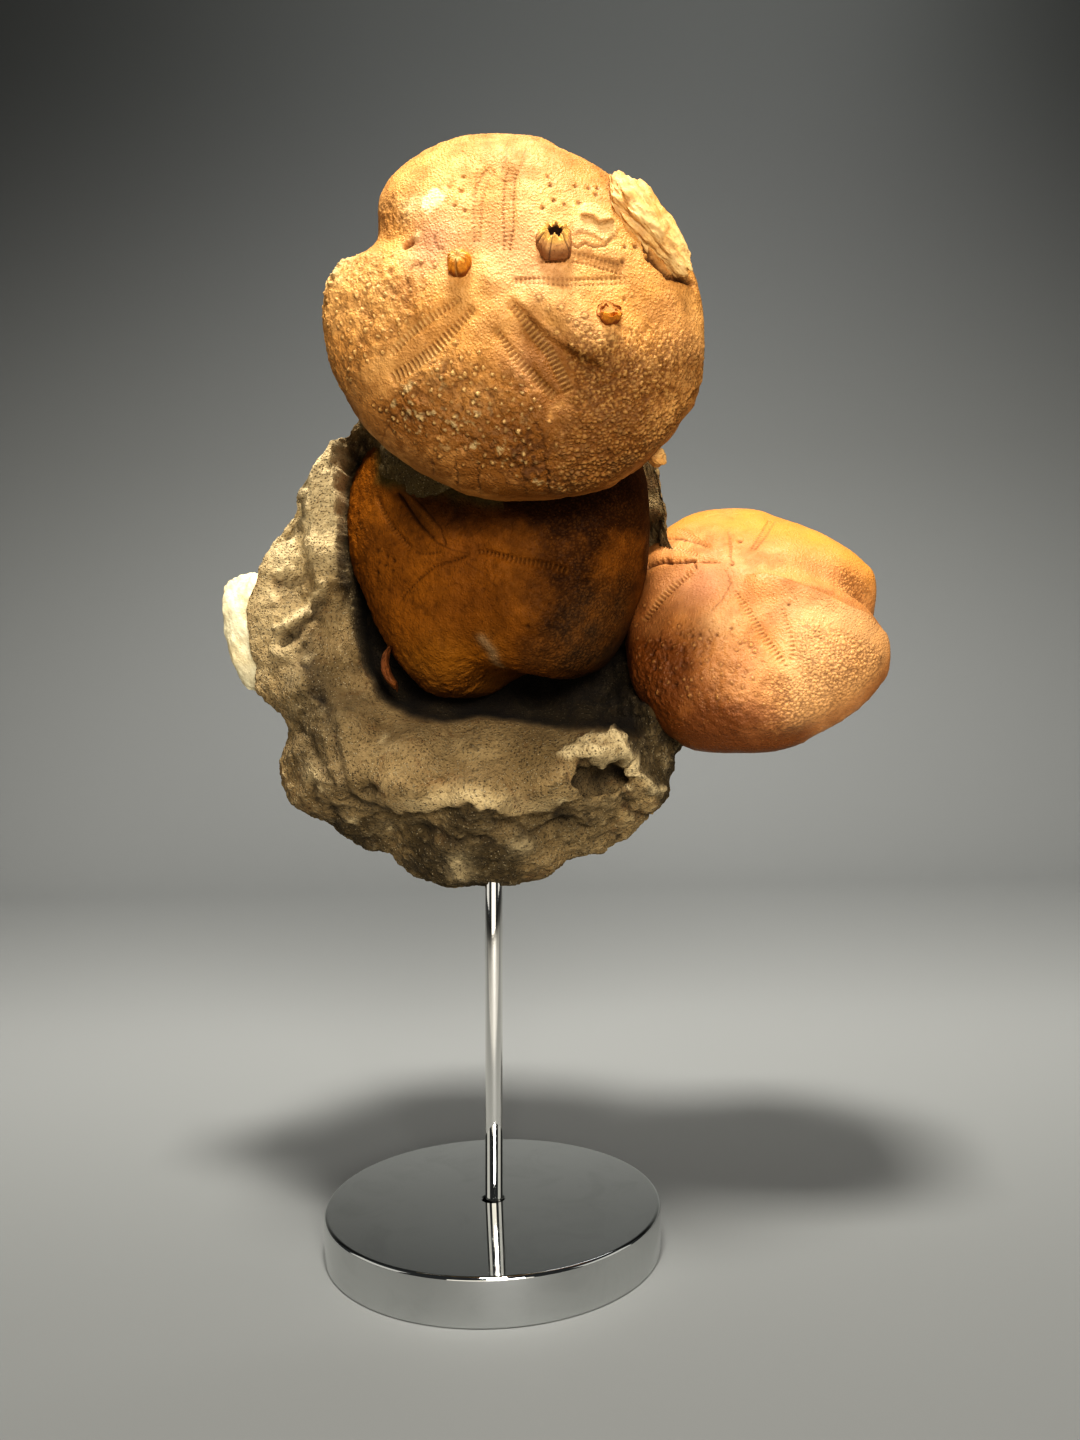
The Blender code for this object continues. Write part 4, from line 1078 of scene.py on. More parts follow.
def buildRock(material):
    marks, pushed = rockMarks, rockMarks["pushed"]

    def wanted(direction):
        return direction.y < 0.1 and (direction.z < 0.28 or direction.x < -0.2)
    level = 7
    mesh = ballMesh("sandstoneMatrix", level, wanted)
    directions = unit(readPoints(mesh))
    points = smoothPoints(mesh, rockBody(directions), 9)
    writePoints(mesh, points)
    normals = readNormals(mesh)
    ragged = np.stack([layeredNoise(points / 2.6, 3, 0.5, k) for k in (7, 8)])
    x, z = points[:, 0] + 1.3 * ragged[0], points[:, 2] + 1.3 * ragged[1]
    isFront = smoothStep(0.1, -0.1, directions[:, 1])
    _, _, side, _ = chainLine(x, z + 1.0, marks["moreRim"])
    aboveRim = smoothStep(-0.4, 0.5, side)
    _, _, leftSide, _ = chainLine(x, z, marks["grooves"][0][0])
    mould = (aboveRim * smoothStep(-0.2, 0.8, leftSide) * (1 - smoothStep(124, 134, z))
             * (1 - smoothStep(33, 36, x + 0.6 * (z - 105))) * isFront)
    # broken faces, lumps and sandy grain
    drift = layeredNoise(points / 5.0, 3, 0.5, 3)[:, None]
    lump, lumpNext, own = cellNoise(points / 8.0 + 0.5 * drift, 11)
    facets = (own - 0.5) * smoothStep(0.0, 0.5, lumpNext - lump)
    chip, chipNext, own2 = cellNoise(points / 2.8 + 0.3 * ragged[0][:, None], 23)
    chips = (own2 - 0.5) * smoothStep(0.0, 0.45, chipNext - chip)
    lumps = layeredNoise(points / 4.5, 4, 0.6, 29)
    grit = layeredNoise(points / 1.5, 4, 0.65, 31)
    broad = layeredNoise(points / 12.0, 5, 0.5, 37)
    rubble = roundMark(x, z, 26, 107, 8.0) * isFront
    rough = (1.0 - 0.88 * mould * (1 - 0.75 * rubble)
             - 0.35 * smoothStep(-30, -34, x) * smoothStep(108, 116, z) * isFront)
    height = rough * (1.1 * facets + 0.6 * chips + 0.9 * lumps) + (0.38 * rough + 0.17) * grit
    # hollow: painted shade in the low grit and lumps
    hollow = rough * (0.35 * smoothStep(0.0, -0.45, grit) + 0.45 * smoothStep(-0.1, -0.5, lumps))
    for corners, wide, deep, dark in marks["grooves"]:
        line = lineMark(x, z, corners, wide) * isFront
        height -= deep * line
        hollow = np.maximum(hollow, dark * line)
    raised = np.zeros(len(x))
    for corners, wide, tall in marks["ridges"]:
        line = lineMark(x, z, corners, wide)
        raised = np.maximum(raised, line * isFront)
        height += tall * line * isFront
    for cx, cz, wide, deep in marks["dents"]:
        dent = bump(np.hypot(x - cx, (z - cz) * 1.15), wide) * isFront
        height -= deep * dent
        hollow = np.maximum(hollow, 0.9 * dent * (deep > 0))
        raised = np.maximum(raised, 0.7 * dent * (deep < 0))
    height -= (1.3 * (1 - aboveRim) * bump(side, 5.0) * smoothStep(-26, -20, x)
               * (1 - smoothStep(19, 23, x)) * isFront)
    ledge = insidePatch(x, z, marks["ledge"], 0.5) * isFront
    pit = insidePatch(x, z, marks["pit"], 0.6) * isFront
    height += 1.0 * ledge - 2.8 * pit
    _, _, gapSide, _ = chainLine(points[:, 0] + 0.5 * ragged[0], points[:, 2] + 0.5 * ragged[1],
                                 marks["gap"])
    gap = (smoothStep(0.0, 2.2, gapSide) * (1 - smoothStep(150, 160, z))
           * (1 - smoothStep(30, 38, x)) * smoothStep(-34, -30, x) * isFront)
    points = points + normals * height[:, None]
    behind = (smoothStep(24, 28.5, x) * smoothStep(118, 126, z)
              * (1 - smoothStep(161, 166, z)) * isFront)
    points[:, 1] += np.maximum(pushed["gap"] * gap, pushed["behind"] * behind)
    slot = (lineMark(points[:, 0], points[:, 2], marks["slot"], 1.9)
            * (1 - smoothStep(180, 186, z)) * isFront)
    bare = (smoothStep(-32.6, -28.6, x) * (1 - smoothStep(-24.5, -21.0, x))
            * smoothStep(157, 163, z) * (1 - smoothStep(176, 187, z)) * isFront)
    points[:, 1] += pushed["bare"] * bare
    rightFace = (smoothStep(-0.5, 1.5, x + 0.55 * (z - 105) - 34.2)
                 * (1 - smoothStep(120, 130, z)) * isFront)
    under = ((1 - aboveRim) * (1 - smoothStep(98, 104, z - 0.12 * np.abs(x))) * isFront
             * (1 - 0.75 * smoothStep(7, 15, x)))
    leftWall = bump(np.hypot(x + 38.5, (z - 122) / 2.2), 7.5) * isFront
    green = np.clip(smoothStep(158, 166, z) * isFront * (1 - smoothStep(10, 22, np.abs(x + 8)))
                    + 0.25 * broad, 0, 1)
    rimGlow = (bump(side - 1.6, 2.2) * aboveRim * smoothStep(-22, -14, x)
               * (1 - smoothStep(12, 18, x)))
    pinkPatch = np.zeros(len(x))
    for cx, cz, wide, strength in marks["pinkPatches"]:
        pinkPatch = np.maximum(pinkPatch, strength * roundMark(x, z, cx, cz, wide))
    arm = smoothStep(148, 162, z) * smoothStep(-30, -32, x) * isFront
    armFill = (smoothStep(-43, -37.5, x) * (1 - smoothStep(-33.0, -31.0, x))
               * smoothStep(144, 151, z) * (1 - smoothStep(182, 190, z)) * isFront)
    points[:, 1] += pushed["arm"] * armFill
    flank = smoothStep(-38, -43, x) * isFront * smoothStep(-0.3, 0.2, broad)
    # pale: the ledge and pink patches are own colour; the rim band, the arm, the raised ridges and the
    # left flank are lightened as painted light
    pale = np.clip(ledge * (0.85 + 1.2 * grit + 0.3 * lumps) + 0.5 * rimGlow * (0.8 + broad)
                   + 0.8 * pinkPatch + 0.95 * arm + 0.8 * raised + 0.25 * flank,
                   0, 1) * (1 - 0.9 * slot)
    purple = bump(np.hypot((x - 17) / 1.2, z - 94.5), 4.5) * isFront
    writePoints(mesh, fitInside(points, "matrix_rock") * mm)
    # the pit and the gap under the middle urchin are darkened as painted shade
    pitDark = 0.95 * pit * (0.75 + 0.25 * smoothStep(101, 104.5, z))
    hollow = np.maximum(hollow * (1 - 0.8 * ledge), np.maximum(pitDark, 1.4 * gap))
    addMask(mesh, "hollow", hollow)
    # raised grit and lumps, made paler: partly wear, partly painted highlight
    addMask(mesh, "boss", rough * smoothStep(0.2, 0.55, grit) + 0.4 * smoothStep(0.2, 0.6, lumps))
    addMask(mesh, "pale", pale)
    # shade: painted shade under the rim, on the right face, in the gap and along the slot by the middle
    # urchin; also darker on the left wall and the left part, the purple patch, random tone and the darker
    # mould
    addMask(mesh, "shade", 0.8 * under * (0.9 + 1.2 * broad) + 0.85 * rightFace + 0.25 * purple
            + 0.2 * rough * (0.6 + broad) + 0.9 * gap + 0.6 * leftWall + 1.2 * slot
            + 0.2 * smoothStep(-18, -30, x)
            + 0.28 * mould * (0.75 + 0.8 * broad) * (1 - rimGlow))
    addMask(mesh, "green", green)
    addMask(mesh, "mould", mould)
    return addPiece("sandstoneMatrix", mesh, "matrix_rock", material)


rockLooks = {"main": (0.33, 0.222, 0.095), "second": (0.45, 0.318, 0.148),
             "pale": (0.72, 0.56, 0.31), "shade": (0.085, 0.056, 0.019),
             "green": (0.13, 0.088, 0.024), "rust": (0.22, 0.105, 0.03),
             "pit": (0.018, 0.011, 0.005), "lightGrain": (0.64, 0.52, 0.32)}


def buildRockMaterial(looks):
    material, tree, shader = startMaterial("sandstoneSurface")
    place = objectPlace(tree)
    grain = useGroup(tree, grainGroup, Grain_Size=0.55, Dark=0.7, Light=0.8)
    shadeAndWear = useGroup(tree, shadeAndWearGroup, Hollow=readMask(tree, "hollow"),
                       Raised=readMask(tree, "boss"), Patchiness=80.0)
    broad = noiseOutput(tree, place, 60.0, 7.0, 0.66, 0.5)
    colour = mixColours(tree, remap(tree, broad, 0.38, 0.62), looks["main"], looks["second"])
    blotch = noiseOutput(tree, place, 150.0, 6.0, 0.65, 0.8)
    dark = noiseOutput(tree, place, 320.0, 5.0, 0.7, 0.3)
    # shade lays painted shade, pale is part own colour and part painted light, and the hollows get
    # painted shade with some dirt
    colour = layOver(tree, colour, [
        (remap(tree, blotch, 0.54, 0.68), looks["rust"], 0.6),
        (remap(tree, dark, 0.55, 0.68), looks["shade"], 0.6),
        ("green", looks["green"]), ("shade", looks["shade"]), ("pale", looks["pale"]),
        (shadeAndWear.outputs["Worn And Lit"], looks["pale"], 0.4),
        (grain.outputs["Dark Grains"], looks["pit"], 0.65),
        (grain.outputs["Light Grains"], looks["lightGrain"], 0.6),
        (shadeAndWear.outputs["Shade And Dirt"], looks["pit"], 0.97)])
    tree.links.new(colour, shader.inputs["Base Color"])
    tree.links.new(remap(tree, grain.outputs["Mottle"], 0.3, 0.7, 0.78, 0.96),
                   shader.inputs["Roughness"])
    addBump(tree, shader, grain.outputs["Height"], 1.0, 0.0008)
    return material


buildRock(buildRockMaterial(rockLooks))
print("sandstone built")

# ---- barnacles and shell pieces ----
def spinAxes(degrees):
    a = math.radians(degrees)
    return np.array(((math.cos(a), math.sin(a), 0), (-math.sin(a), math.cos(a), 0), (0, 0, 1)))


def barnacleFrame(spec, angle, down, upward):
    around, lean = math.radians(angle), math.radians(down)
    direction = np.array([[math.sin(lean) * math.cos(around), math.sin(lean) * math.sin(around),
                           math.cos(lean)]])
    point = urchinSurface(spec, direction)
    normal = urchinNormals(spec, direction, point)
    apexX, apexY = spec["apex"]
    point = point + normal * topForms(spec, point[:, 0] - apexX, point[:, 1] - apexY)
    axes = worldAxes(spec)
    zAxis = (normal @ axes)[0] + np.array((0, 0, upward))
    zAxis /= np.linalg.norm(zAxis)
    xAxis = np.cross((0.0, 0.0, 1.0), zAxis)
    xAxis /= np.linalg.norm(xAxis)
    frameAxes = np.stack([xAxis, np.cross(zAxis, xAxis), zAxis])
    return (point @ axes)[0] + np.array(spec["centre"]), frameAxes


barnacles = {
    "volcanoBarnacle": dict(
        node="barnacle_large", slot="barnacle_grey", angle=-115, down=20, upward=0.45, spin=20,
        profile=((3.6, -1.4), (3.6, 0.0), (3.35, 0.7), (2.95, 1.4), (2.5, 2.0), (2.1, 2.45),
                 (1.8, 2.6), (1.5, 2.45), (1.35, 2.0), (1.2, 1.4), (1.05, 0.9), (0.6, 0.7)),
        plates=6, ribs=22, lowSide=0.0, opening=1.7, spike=0.7, crownFrom=0.55),
    "creamTopBarnacle": dict(
        node="barnacle_small", slot="barnacle_rust", angle=1, down=9, upward=0.5, spin=0,
        profile=((2.1, -1.2), (2.3, -0.1), (2.45, 0.6), (2.35, 1.4), (2.0, 2.1), (1.55, 2.55),
                 (1.1, 2.8), (0.7, 2.75), (0.4, 2.5), (0.2, 2.3)),
        plates=4, ribs=12, lowSide=0.0, opening=0.7, spike=0.2, crownFrom=0.86),
    "brokenBarnacle": dict(
        node="barnacle_broken", slot="barnacle_rust", angle=-166, down=30, upward=0.3, spin=100,
        profile=((2.2, -1.2), (2.4, 0.2), (2.4, 1.1), (2.25, 1.9), (2.0, 2.7), (1.75, 3.2),
                 (1.5, 3.1), (1.35, 2.5), (1.2, 1.4), (1.0, 0.7), (0.5, 0.5)),
        plates=1, ribs=9, lowSide=4.6, opening=1.9, spike=1.9, crownFrom=0.9),
}


def buildBarnacle(name, spec, material, seed):
    sides, steps = 96, 6
    profile = np.array(spec["profile"])
    stations = np.linspace(0, len(profile) - 1, (len(profile) - 1) * steps + 1)
    radii = np.interp(stations, range(len(profile)), profile[:, 0])
    heights = np.interp(stations, range(len(profile)), profile[:, 1])
    turn = np.arange(sides) * 2 * math.pi / sides
    angle, radius = np.meshgrid(turn, radii)
    angle, height = np.meshgrid(turn, heights)
    outer = smoothStep(0.0, 1.0, height) * (np.arange(len(radii))[:, None] < len(radii) * 0.62)
    plate = np.abs(np.sin(angle * spec["plates"] / 2.0 + 0.4))
    ribs = np.sin(angle * spec["ribs"] + 0.8 * np.sin(angle * 3))
    radius = radius * (1 + 0.05 * np.sin(5 * angle + 1) + 0.03 * np.sin(3 * angle))
    radius = radius + outer * (0.14 * ribs - 0.3 * np.exp(-(plate / 0.12) ** 2))
    drop = spec["lowSide"] * 0.5 * (1 + np.cos(angle)) * smoothStep(0.0, 3.0, height)
    tall = profile[:, 1].max()
    lip = (spec["spike"] * np.sin(angle * spec["plates"] + 1.3) ** 3
           * smoothStep(0.75 * tall, tall, height))
    points = np.stack([radius * np.cos(angle), radius * np.sin(angle), height - drop + lip], -1)
    points = points.reshape(-1, 3)
    points = points + 0.12 * layeredNoise(points / 0.9, 3, 0.6, seed)[:, None]
    rows = len(radii)
    faces = [(r * sides + c, r * sides + (c + 1) % sides, (r + 1) * sides + (c + 1) % sides,
              (r + 1) * sides + c) for r in range(rows - 1) for c in range(sides)]
    low, high = len(points), len(points) + 1
    points = np.vstack([points, points[:sides].mean(0), points[-sides:].mean(0)])
    faces += [(low, (c + 1) % sides, c) for c in range(sides)]
    faces += [(high, (rows - 1) * sides + c, (rows - 1) * sides + (c + 1) % sides)
              for c in range(sides)]
    place, axes = barnacleFrame(upperUrchin, spec["angle"], spec["down"], spec["upward"])
    world = points @ spinAxes(spec["spin"]) @ axes + place
    mesh = bpy.data.meshes.new(name)
    mesh.from_pydata((fitInside(world, spec["node"]) * mm).tolist(), [], faces)
    mesh.shade_smooth()
    level = np.append(np.repeat(np.arange(rows), sides), (0, rows - 1))
    inside = smoothStep(rows * 0.58, rows * 0.75, level)
    addMask(mesh, "inside", inside)
    addMask(mesh, "crown", smoothStep(spec["crownFrom"], spec["crownFrom"] + 0.2,
                                     points[:, 2] / tall) * (1 - inside))
    # darker towards the foot: painted shade
    addMask(mesh, "foot", smoothStep(0.45, 0.1, points[:, 2] / tall) * (1 - inside))
    addMask(mesh, "seam", np.append(np.exp(-(plate / 0.12) ** 2).ravel(), (0, 0)) * (1 - inside))
    return addPiece(name, mesh, spec["node"], material)


def buildBarnacleMaterial(name, wall, foot, crown, inner):
    material, tree, shader = startMaterial(name)
    place = objectPlace(tree)
    grain = useGroup(tree, grainGroup, Grain_Size=0.35, Dark=0.6, Light=0.5)
    broad = noiseOutput(tree, place, 500.0, 5.0, 0.6)
    colour = layOver(tree, wall, [
        (remap(tree, broad, 0.4, 0.62), foot, 0.45), ("foot", foot),
        (grain.outputs["Dark Grains"], inner, 0.5), ("crown", crown), ("seam", inner, 0.7),
        ("inside", inner)])
    tree.links.new(colour, shader.inputs["Base Color"])
    tree.links.new(remap(tree, broad, 0.3, 0.7, 0.6, 0.85), shader.inputs["Roughness"])
    addBump(tree, shader, grain.outputs["Height"], 0.5, 0.0003)
    return material


# near-black inner colour: painted shade inside the opening, also used for the dark plate seams
greyWall = buildBarnacleMaterial("greyBarnacleWall", (0.72, 0.38, 0.14), (0.34, 0.15, 0.05),
                                 (0.80, 0.46, 0.13), (0.04, 0.015, 0.004))
rustWall = buildBarnacleMaterial("rustBarnacleWall", (0.68, 0.27, 0.02), (0.30, 0.095, 0.01),
                                 (0.80, 0.56, 0.22), (0.55, 0.34, 0.12))
brokenWall = buildBarnacleMaterial("brokenBarnacleWall", (0.68, 0.27, 0.02), (0.28, 0.09, 0.012),
                                   (0.74, 0.34, 0.05), (0.42, 0.19, 0.04))
for seed, (name, surface) in enumerate((("volcanoBarnacle", greyWall),
                                        ("creamTopBarnacle", rustWall),
                                        ("brokenBarnacle", brokenWall)), 5):
    buildBarnacle(name, barnacles[name], surface, seed)
print("barnacles built")


# worn fragments, each from a stretched ball that stays in its solid's box
def buildFragment(name, spec, material):
    mesh = ballMesh(name, 6)
    directions = unit(readPoints(mesh))
    offset = Vector((spec["seed"], 0, 0))
    swell = 1.0 + spec["rough"] * np.array(
        [noise.fractal(Vector(d) * 1.6 + offset, 0.9, 2.0, 4) for d in directions])
    boxy = (np.abs(directions) ** 2.8).sum(1) ** (-1 / 2.8)
    points = directions * np.array(spec["size"]) * (swell * boxy)[:, None]
    layers = np.sin(points[:, 0] / spec["layer"] * 2 * math.pi
                    + 2.5 * layeredNoise(points / 5.0, 3, 0.5, 3)) * 0.5 + 0.5
    grit = layeredNoise(points / 1.3, 4, 0.6, int(spec["seed"]) + 50)
    chips, chipsNext, own = cellNoise(points / 3.2, int(spec["seed"]) + 60)
    height = (spec["layerDepth"] * layers + 0.22 * grit
              + 0.4 * (own - 0.5) * smoothStep(0.02, 0.25, chipsNext - chips)) * spec["relief"]
    points = points + directions * height[:, None]
    points[:, 0] *= 1.0 + spec.get("taper", 0.0) * points[:, 1] / spec["size"][1]
    points[:, 0] += spec.get("bend", 0.0) * (points[:, 2] / spec["size"][2]) ** 2
    world = points @ spec["axes"] + np.array(spec["centre"])
    writePoints(mesh, fitInside(world, spec["node"]) * mm)
    seams = 1 - smoothStep(0, 0.1, chipsNext - chips)
    # darker in low grit and along chip seams: painted shade with some dirt
    addMask(mesh, "hollow", smoothStep(0.25, -0.45, grit) * 0.5 + 0.4 * seams)
    addMask(mesh, "layer", layers)
    return addPiece(name, mesh, spec["node"], material)


def tiltAxes(degrees):
    a = math.radians(degrees)
    return np.array(((math.cos(a), 0, -math.sin(a)), (0, 1, 0), (math.sin(a), 0, math.cos(a))))


def seatedFragment(angle, down, spin, size, **more):
    place, axes = barnacleFrame(upperUrchin, angle, down, 0.0)
    return dict(centre=place, axes=spinAxes(spin) @ axes, size=size, **more)


fragments = {
    "layeredShell": seatedFragment(-124, 61, 30, (4.9, 11.2, 2.9), node="shell_fragment",
                                   slot="cream_shell", seed=9.0, rough=0.22, layer=3.0,
                                   layerDepth=0.22, relief=0.8, taper=0.35),
    "rimChipShell": seatedFragment(164, 96, 0, (2.2, 1.6, 2.6), node="rim_chip",
                                   slot="cream_shell", seed=2.0, rough=0.2, layer=1.5,
                                   layerDepth=0.1, relief=0.6),
    "paleShellPiece": dict(centre=(-52.0, 13.0, 138.6), axes=tiltAxes(-16), size=(8.2, 6.5, 14.6),
                           node="pale_shell", slot="cream_shell", seed=4.0, rough=0.1, layer=9.0,
                           layerDepth=0.12, relief=0.55),
    "curledShard": dict(centre=(-22.6, 6.5, 129.5), axes=tiltAxes(-14), size=(0.9, 3.0, 5.4),
                        node="test_shard", slot="brown_test", seed=6.0, rough=0.25, layer=2.6,
                        layerDepth=0.1, relief=0.6, bend=2.4),
}


def buildFragmentMaterial(name, main, second, dark, edge):
    material, tree, shader = startMaterial(name)
    place = objectPlace(tree)
    grain = useGroup(tree, grainGroup, Grain_Size=0.6, Dark=0.25, Light=0.3)
    shadeAndWear = useGroup(tree, shadeAndWearGroup, Hollow=readMask(tree, "hollow"), Raised=0.0,
                       Patchiness=150.0)
    broad = noiseOutput(tree, place, 140.0, 6.0, 0.6, 0.5)
    colour = mixColours(tree, remap(tree, broad, 0.4, 0.66), main, second)
    colour = layOver(tree, colour, [
        ("layer", second, edge), (grain.outputs["Dark Grains"], dark, 0.4),
        (shadeAndWear.outputs["Shade And Dirt"], dark, 0.6)])
    tree.links.new(colour, shader.inputs["Base Color"])
    tree.links.new(remap(tree, grain.outputs["Mottle"], 0.3, 0.7, 0.55, 0.8),
                   shader.inputs["Roughness"])
    addBump(tree, shader, grain.outputs["Height"], 0.4, 0.0003)
    return material


creamLayered = buildFragmentMaterial("creamLayeredShell", (0.74, 0.50, 0.21), (0.60, 0.30, 0.075),
                                     (0.24, 0.09, 0.02), 0.45)
creamChalk = buildFragmentMaterial("creamChalkShell", (0.86, 0.77, 0.52), (0.80, 0.67, 0.40),
                                   (0.36, 0.25, 0.12), 0.2)
shardBrown = buildFragmentMaterial("shardBrown", (0.20, 0.062, 0.012), (0.30, 0.11, 0.02),
                                   (0.04, 0.014, 0.004), 0.4)
for name, spec in fragments.items():
    surface = {"paleShellPiece": creamChalk, "curledShard": shardBrown}.get(name, creamLayered)
    buildFragment(name, spec, surface)
print("fragments built")

# ---- stand ----
stand = {"radius": 37.5, "height": 10.0, "topBevel": 0.8, "bottomBevel": 0.4, "socket": 2.4,
         "socketDepth": 8.0, "rodRadius": 2.0, "rodLean": 1.1, "rodFoot": 2.4, "rodTop": 96.0}


def turnedMesh(name, profile, sides, matrix):
    bm = bmesh.new()
    turns = [2 * math.pi * k / sides for k in range(sides)]
    rings = [[bm.verts.new(matrix @ Vector((radius * math.cos(a) * mm, radius * math.sin(a) * mm,
                                            height * mm))) for a in turns]
             for radius, height in profile]
    for lower, upper in zip(rings, rings[1:]):
        for k in range(sides):
            bm.faces.new((lower[k], lower[(k + 1) % sides], upper[(k + 1) % sides], upper[k]))
    bm.faces.new(list(reversed(rings[0])))
    bm.faces.new(rings[-1])
    bmesh.ops.recalc_face_normals(bm, faces=bm.faces[:])
    mesh = finishedMesh(name, bm)
    mesh.set_sharp_from_angle(angle=math.radians(25))
    return mesh


def roundedEdge(radius, height, bevel, top, steps=5):
    turns = [math.pi / 2 * k / steps for k in range(steps + 1)]
    if top:
        return [(radius - bevel + bevel * math.cos(a), height - bevel + bevel * math.sin(a))
                for a in turns]
    return [(radius - bevel + bevel * math.sin(a), height + bevel - bevel * math.cos(a))
            for a in turns]


def buildChromeMaterial(name, smudge, tint):
    material, tree, shader = startMaterial(name)
    place = objectPlace(tree)
    shader.inputs["Metallic"].default_value = 1.0
    prints = noiseOutput(tree, place, 70.0, 6.0, 0.65, 1.2)
    specks = noiseOutput(tree, place, 900.0, 2.0, 0.5)
    film = maths(tree, "MULTIPLY", remap(tree, prints, 0.45, 0.75), smudge)
    colour = mixColours(tree, film, tint, [0.8 * part for part in tint])
    tree.links.new(colour, shader.inputs["Base Color"])
    rough = maths(tree, "ADD", maths(tree, "MULTIPLY", film, 0.12), 0.035)
    rough = maths(tree, "ADD", rough, maths(tree, "MULTIPLY", remap(tree, specks, 0.62, 0.7), 0.05))
    tree.links.new(rough, shader.inputs["Roughness"])
    stretch = addNode(tree, "ShaderNodeMapping", Vector=place)
    stretch.inputs["Scale"].default_value = (60.0, 60.0, 2600.0)
    lines = addNode(tree, "ShaderNodeTexNoise", Vector=stretch.outputs["Vector"], Scale=1.0,
                    Detail=3.0)
    addBump(tree, shader, lines.outputs["Fac"], 0.015, 0.0001)
    return material


def addTurned(name, profile, sides, matrix, node, material):
    mesh = turnedMesh(name, profile, sides, matrix)
    writePoints(mesh, fitInside(readPoints(mesh) / mm, node) * mm)
    addPiece(name, mesh, node, material)


def buildStand():
    chrome = buildChromeMaterial("polishedChromeDisc", 0.4, (0.66, 0.67, 0.66))
    rodChrome = buildChromeMaterial("polishedChromeRod", 0.25, (0.93, 0.92, 0.89))
    s = stand
    profile = roundedEdge(s["radius"], 0.0, s["bottomBevel"], False)
    profile += roundedEdge(s["radius"], s["height"], s["topBevel"], True, 7)
    profile += [(s["socket"] + 0.3, s["height"]), (s["socket"], s["height"] - 0.3),
                (s["socket"], s["height"] - s["socketDepth"])]
    addTurned("chromeDisc", profile, 192, Matrix(), "base_disc", chrome)
    tilt = Matrix.Rotation(math.radians(s["rodLean"]), 4, "Y")
    profile = roundedEdge(s["rodRadius"], s["rodFoot"], 0.3, False, 3)
    profile += roundedEdge(s["rodRadius"], s["rodTop"], 0.3, True, 3)
    addTurned("chromeRod", profile, 64, tilt, "rod", rodChrome)


buildStand()
print("stand built")

# ---- floor, light and camera ----
studio = {
    # frontShadeColour and topShadeColour are painted shade, nearLightColour is painted light
    "floorColour": (0.46, 0.465, 0.45), "frontShadeColour": (0.21, 0.213, 0.205),
    "nearLightColour": (0.38, 0.37, 0.345), "topShadeColour": (0.085, 0.088, 0.084), "wallY": 0.95,
    "airColour": (0.95, 0.98, 1.0), "airStrength": 0.045,
    # name, place, target, width, height, watts, colour
    "lights": (
        ("overheadSoftbox", (0.0, -0.16, 0.62),
        (0.005, 0.0, 0.1), 0.11, 0.10, 3.2, (1.0, 0.98, 0.94)),
        ("frontSoftbox", (0.14, -0.82, 0.38),
        (0.005, 0.0, 0.1), 0.35, 0.25, 4.7, (1.0, 0.98, 0.95)),
        ("lowFront", (0.0, -1.0, 0.2), (0, 0, 0.1), 1.0, 0.4, 1.2, (1.0, 0.94, 0.84)),
        ("backdropWash", (0.1, 0.55, 0.95), (0.0, 0.95, 0.5), 0.8, 0.3, 2.3, (1.0, 1.0, 1.0)),
        ("leftPanel", (-0.75, -0.15, 0.3), (0, 0, 0.12), 0.6, 0.5, 0.5, (1.0, 0.97, 0.90)),
        ("rightPanel", (0.75, -0.15, 0.3), (0, 0, 0.12), 0.6, 0.5, 0.5, (1.0, 0.97, 0.90))),
}
viewpoint = {"place": (0.0127, -0.262, 0.1175), "lens": 29.075, "rollDegrees": -1.15}


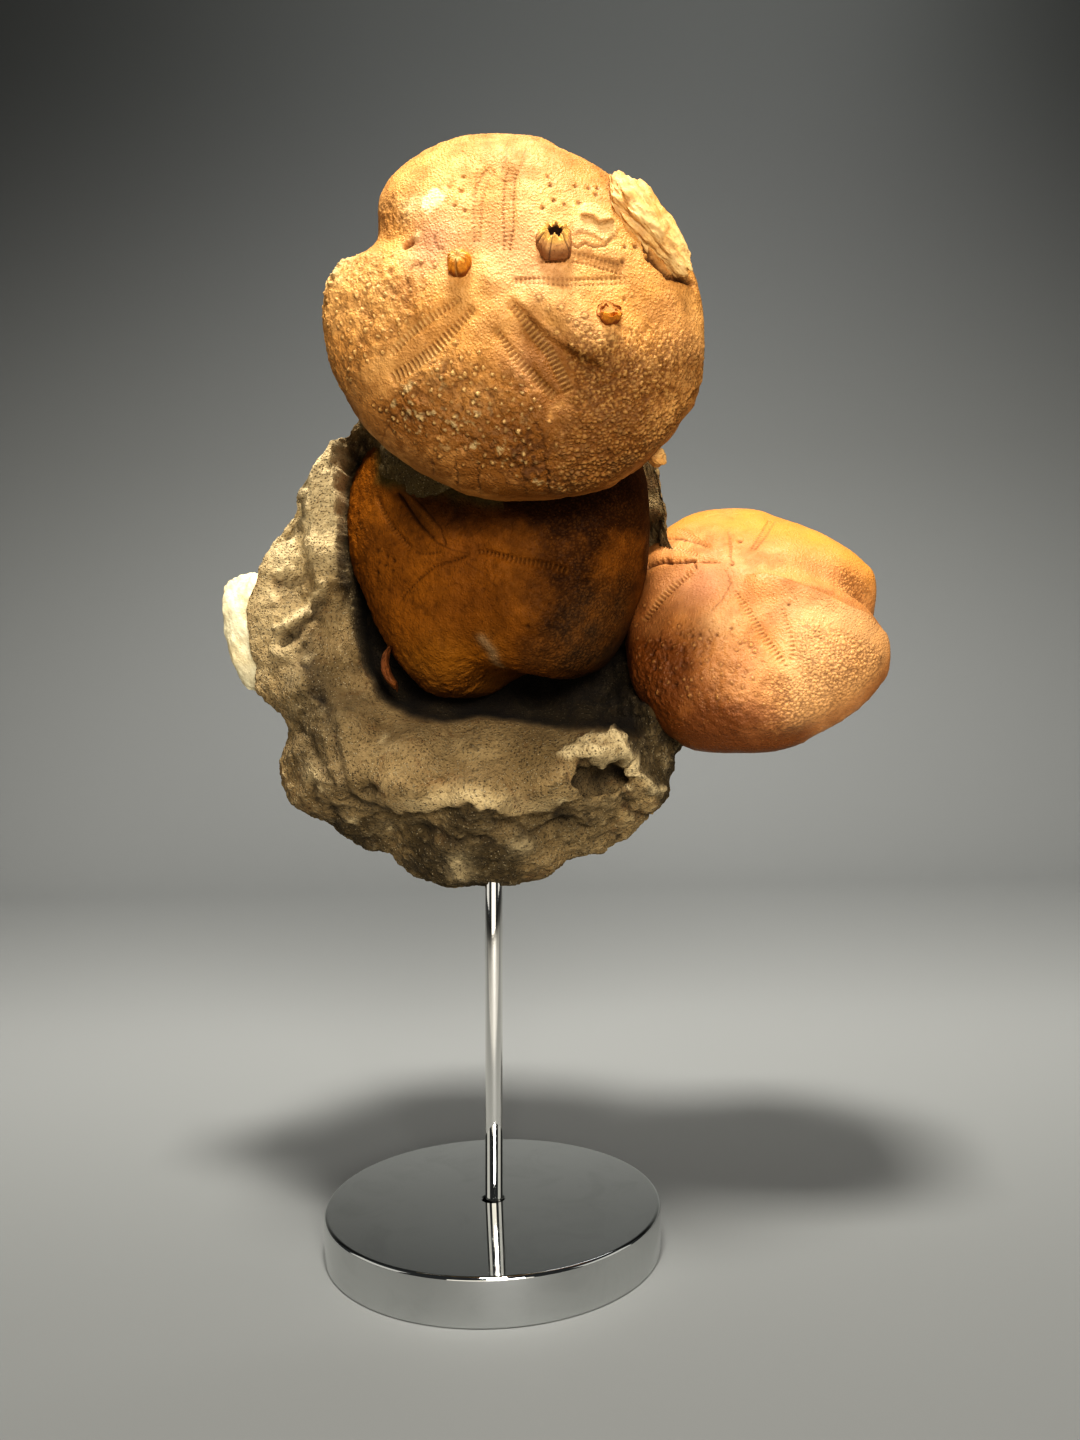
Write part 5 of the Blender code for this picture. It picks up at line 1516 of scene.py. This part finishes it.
def buildStage():
    floor = bpy.data.meshes.new("studioFloor")
    half, wall, bend, tall = 1.8, studio["wallY"], 0.4, 1.8
    profile = [(-1.4, 0.0), (wall - bend, 0.0)]
    profile += [(wall - bend + bend * math.sin(a), bend - bend * math.cos(a))
                for a in (math.pi / 2 * k / 16 for k in range(1, 17))]
    profile.append((wall, tall))
    points = [(side * half, y, z) for y, z in profile for side in (-1, 1)]
    faces = [(2 * k, 2 * k + 1, 2 * k + 3, 2 * k + 2) for k in range(len(profile) - 1)]
    floor.from_pydata(points, [], faces)
    floor.shade_smooth()
    piece = addObject("studioFloor", floor)
    material, tree, shader = startMaterial("paleFloor")
    place = objectPlace(tree)
    haze = noiseOutput(tree, place, 3.0, 3.0, 0.5)
    split = addNode(tree, "ShaderNodeSeparateXYZ")
    tree.links.new(place, split.inputs[0])
    # the floor darkens towards the front and the backdrop towards the top, both painted shade; the strip
    # nearest the camera is lighter, painted light for the stand's reflections
    rise = remap(tree, split.outputs[2], 0.0, 0.85)
    ahead = remap(tree, split.outputs[1], 0.22, -0.1)
    near = remap(tree, split.outputs[1], -0.1, -0.17)
    colour = layOver(tree, studio["floorColour"], [
        (ahead, studio["frontShadeColour"]), (near, studio["nearLightColour"]),
        (rise, studio["topShadeColour"]), (haze, (0.3, 0.3, 0.29), 0.06)])
    tree.links.new(colour, shader.inputs["Base Color"])
    shader.inputs["Roughness"].default_value = 0.7
    floor.materials.append(material)


def addSoftLight(name, place, target, width, height, power, colour):
    data = bpy.data.lights.new(name, "AREA")
    data.shape = "RECTANGLE"
    data.size, data.size_y = width, height
    data.energy = power
    data.color = colour
    lamp = addObject(name, data)
    lamp.location = place
    lamp.rotation_euler = (Vector(target) - Vector(place)).to_track_quat("-Z", "Y").to_euler()


def buildLights():
    for light in studio["lights"]:
        addSoftLight(*light)
    world = bpy.data.worlds.new("studioAir")
    world.use_nodes = True
    backdrop = world.node_tree.nodes["Background"]
    backdrop.inputs[0].default_value = (*studio["airColour"], 1.0)
    backdrop.inputs[1].default_value = studio["airStrength"]
    bpy.context.scene.world = world
    viewing = bpy.context.scene.view_settings
    viewing.view_transform, viewing.look = "Standard", "High Contrast"


def buildCamera():
    data = bpy.data.cameras.new("viewCamera")
    data.sensor_width = 36.0
    data.sensor_fit = "AUTO"
    data.lens = viewpoint["lens"]
    data.clip_start = 0.01
    camera = addObject("viewCamera", data)
    roll = math.radians(viewpoint["rollDegrees"])
    right = Vector((math.cos(roll), 0, math.sin(roll)))
    up = Vector((-math.sin(roll), 0, math.cos(roll)))
    turn = Matrix((right, up, Vector((0, -1, 0)))).transposed().to_4x4()
    camera.matrix_world = Matrix.Translation(viewpoint["place"]) @ turn
    bpy.context.scene.camera = camera


buildStage()
buildLights()
buildCamera()
print("stage, lights and camera ready")
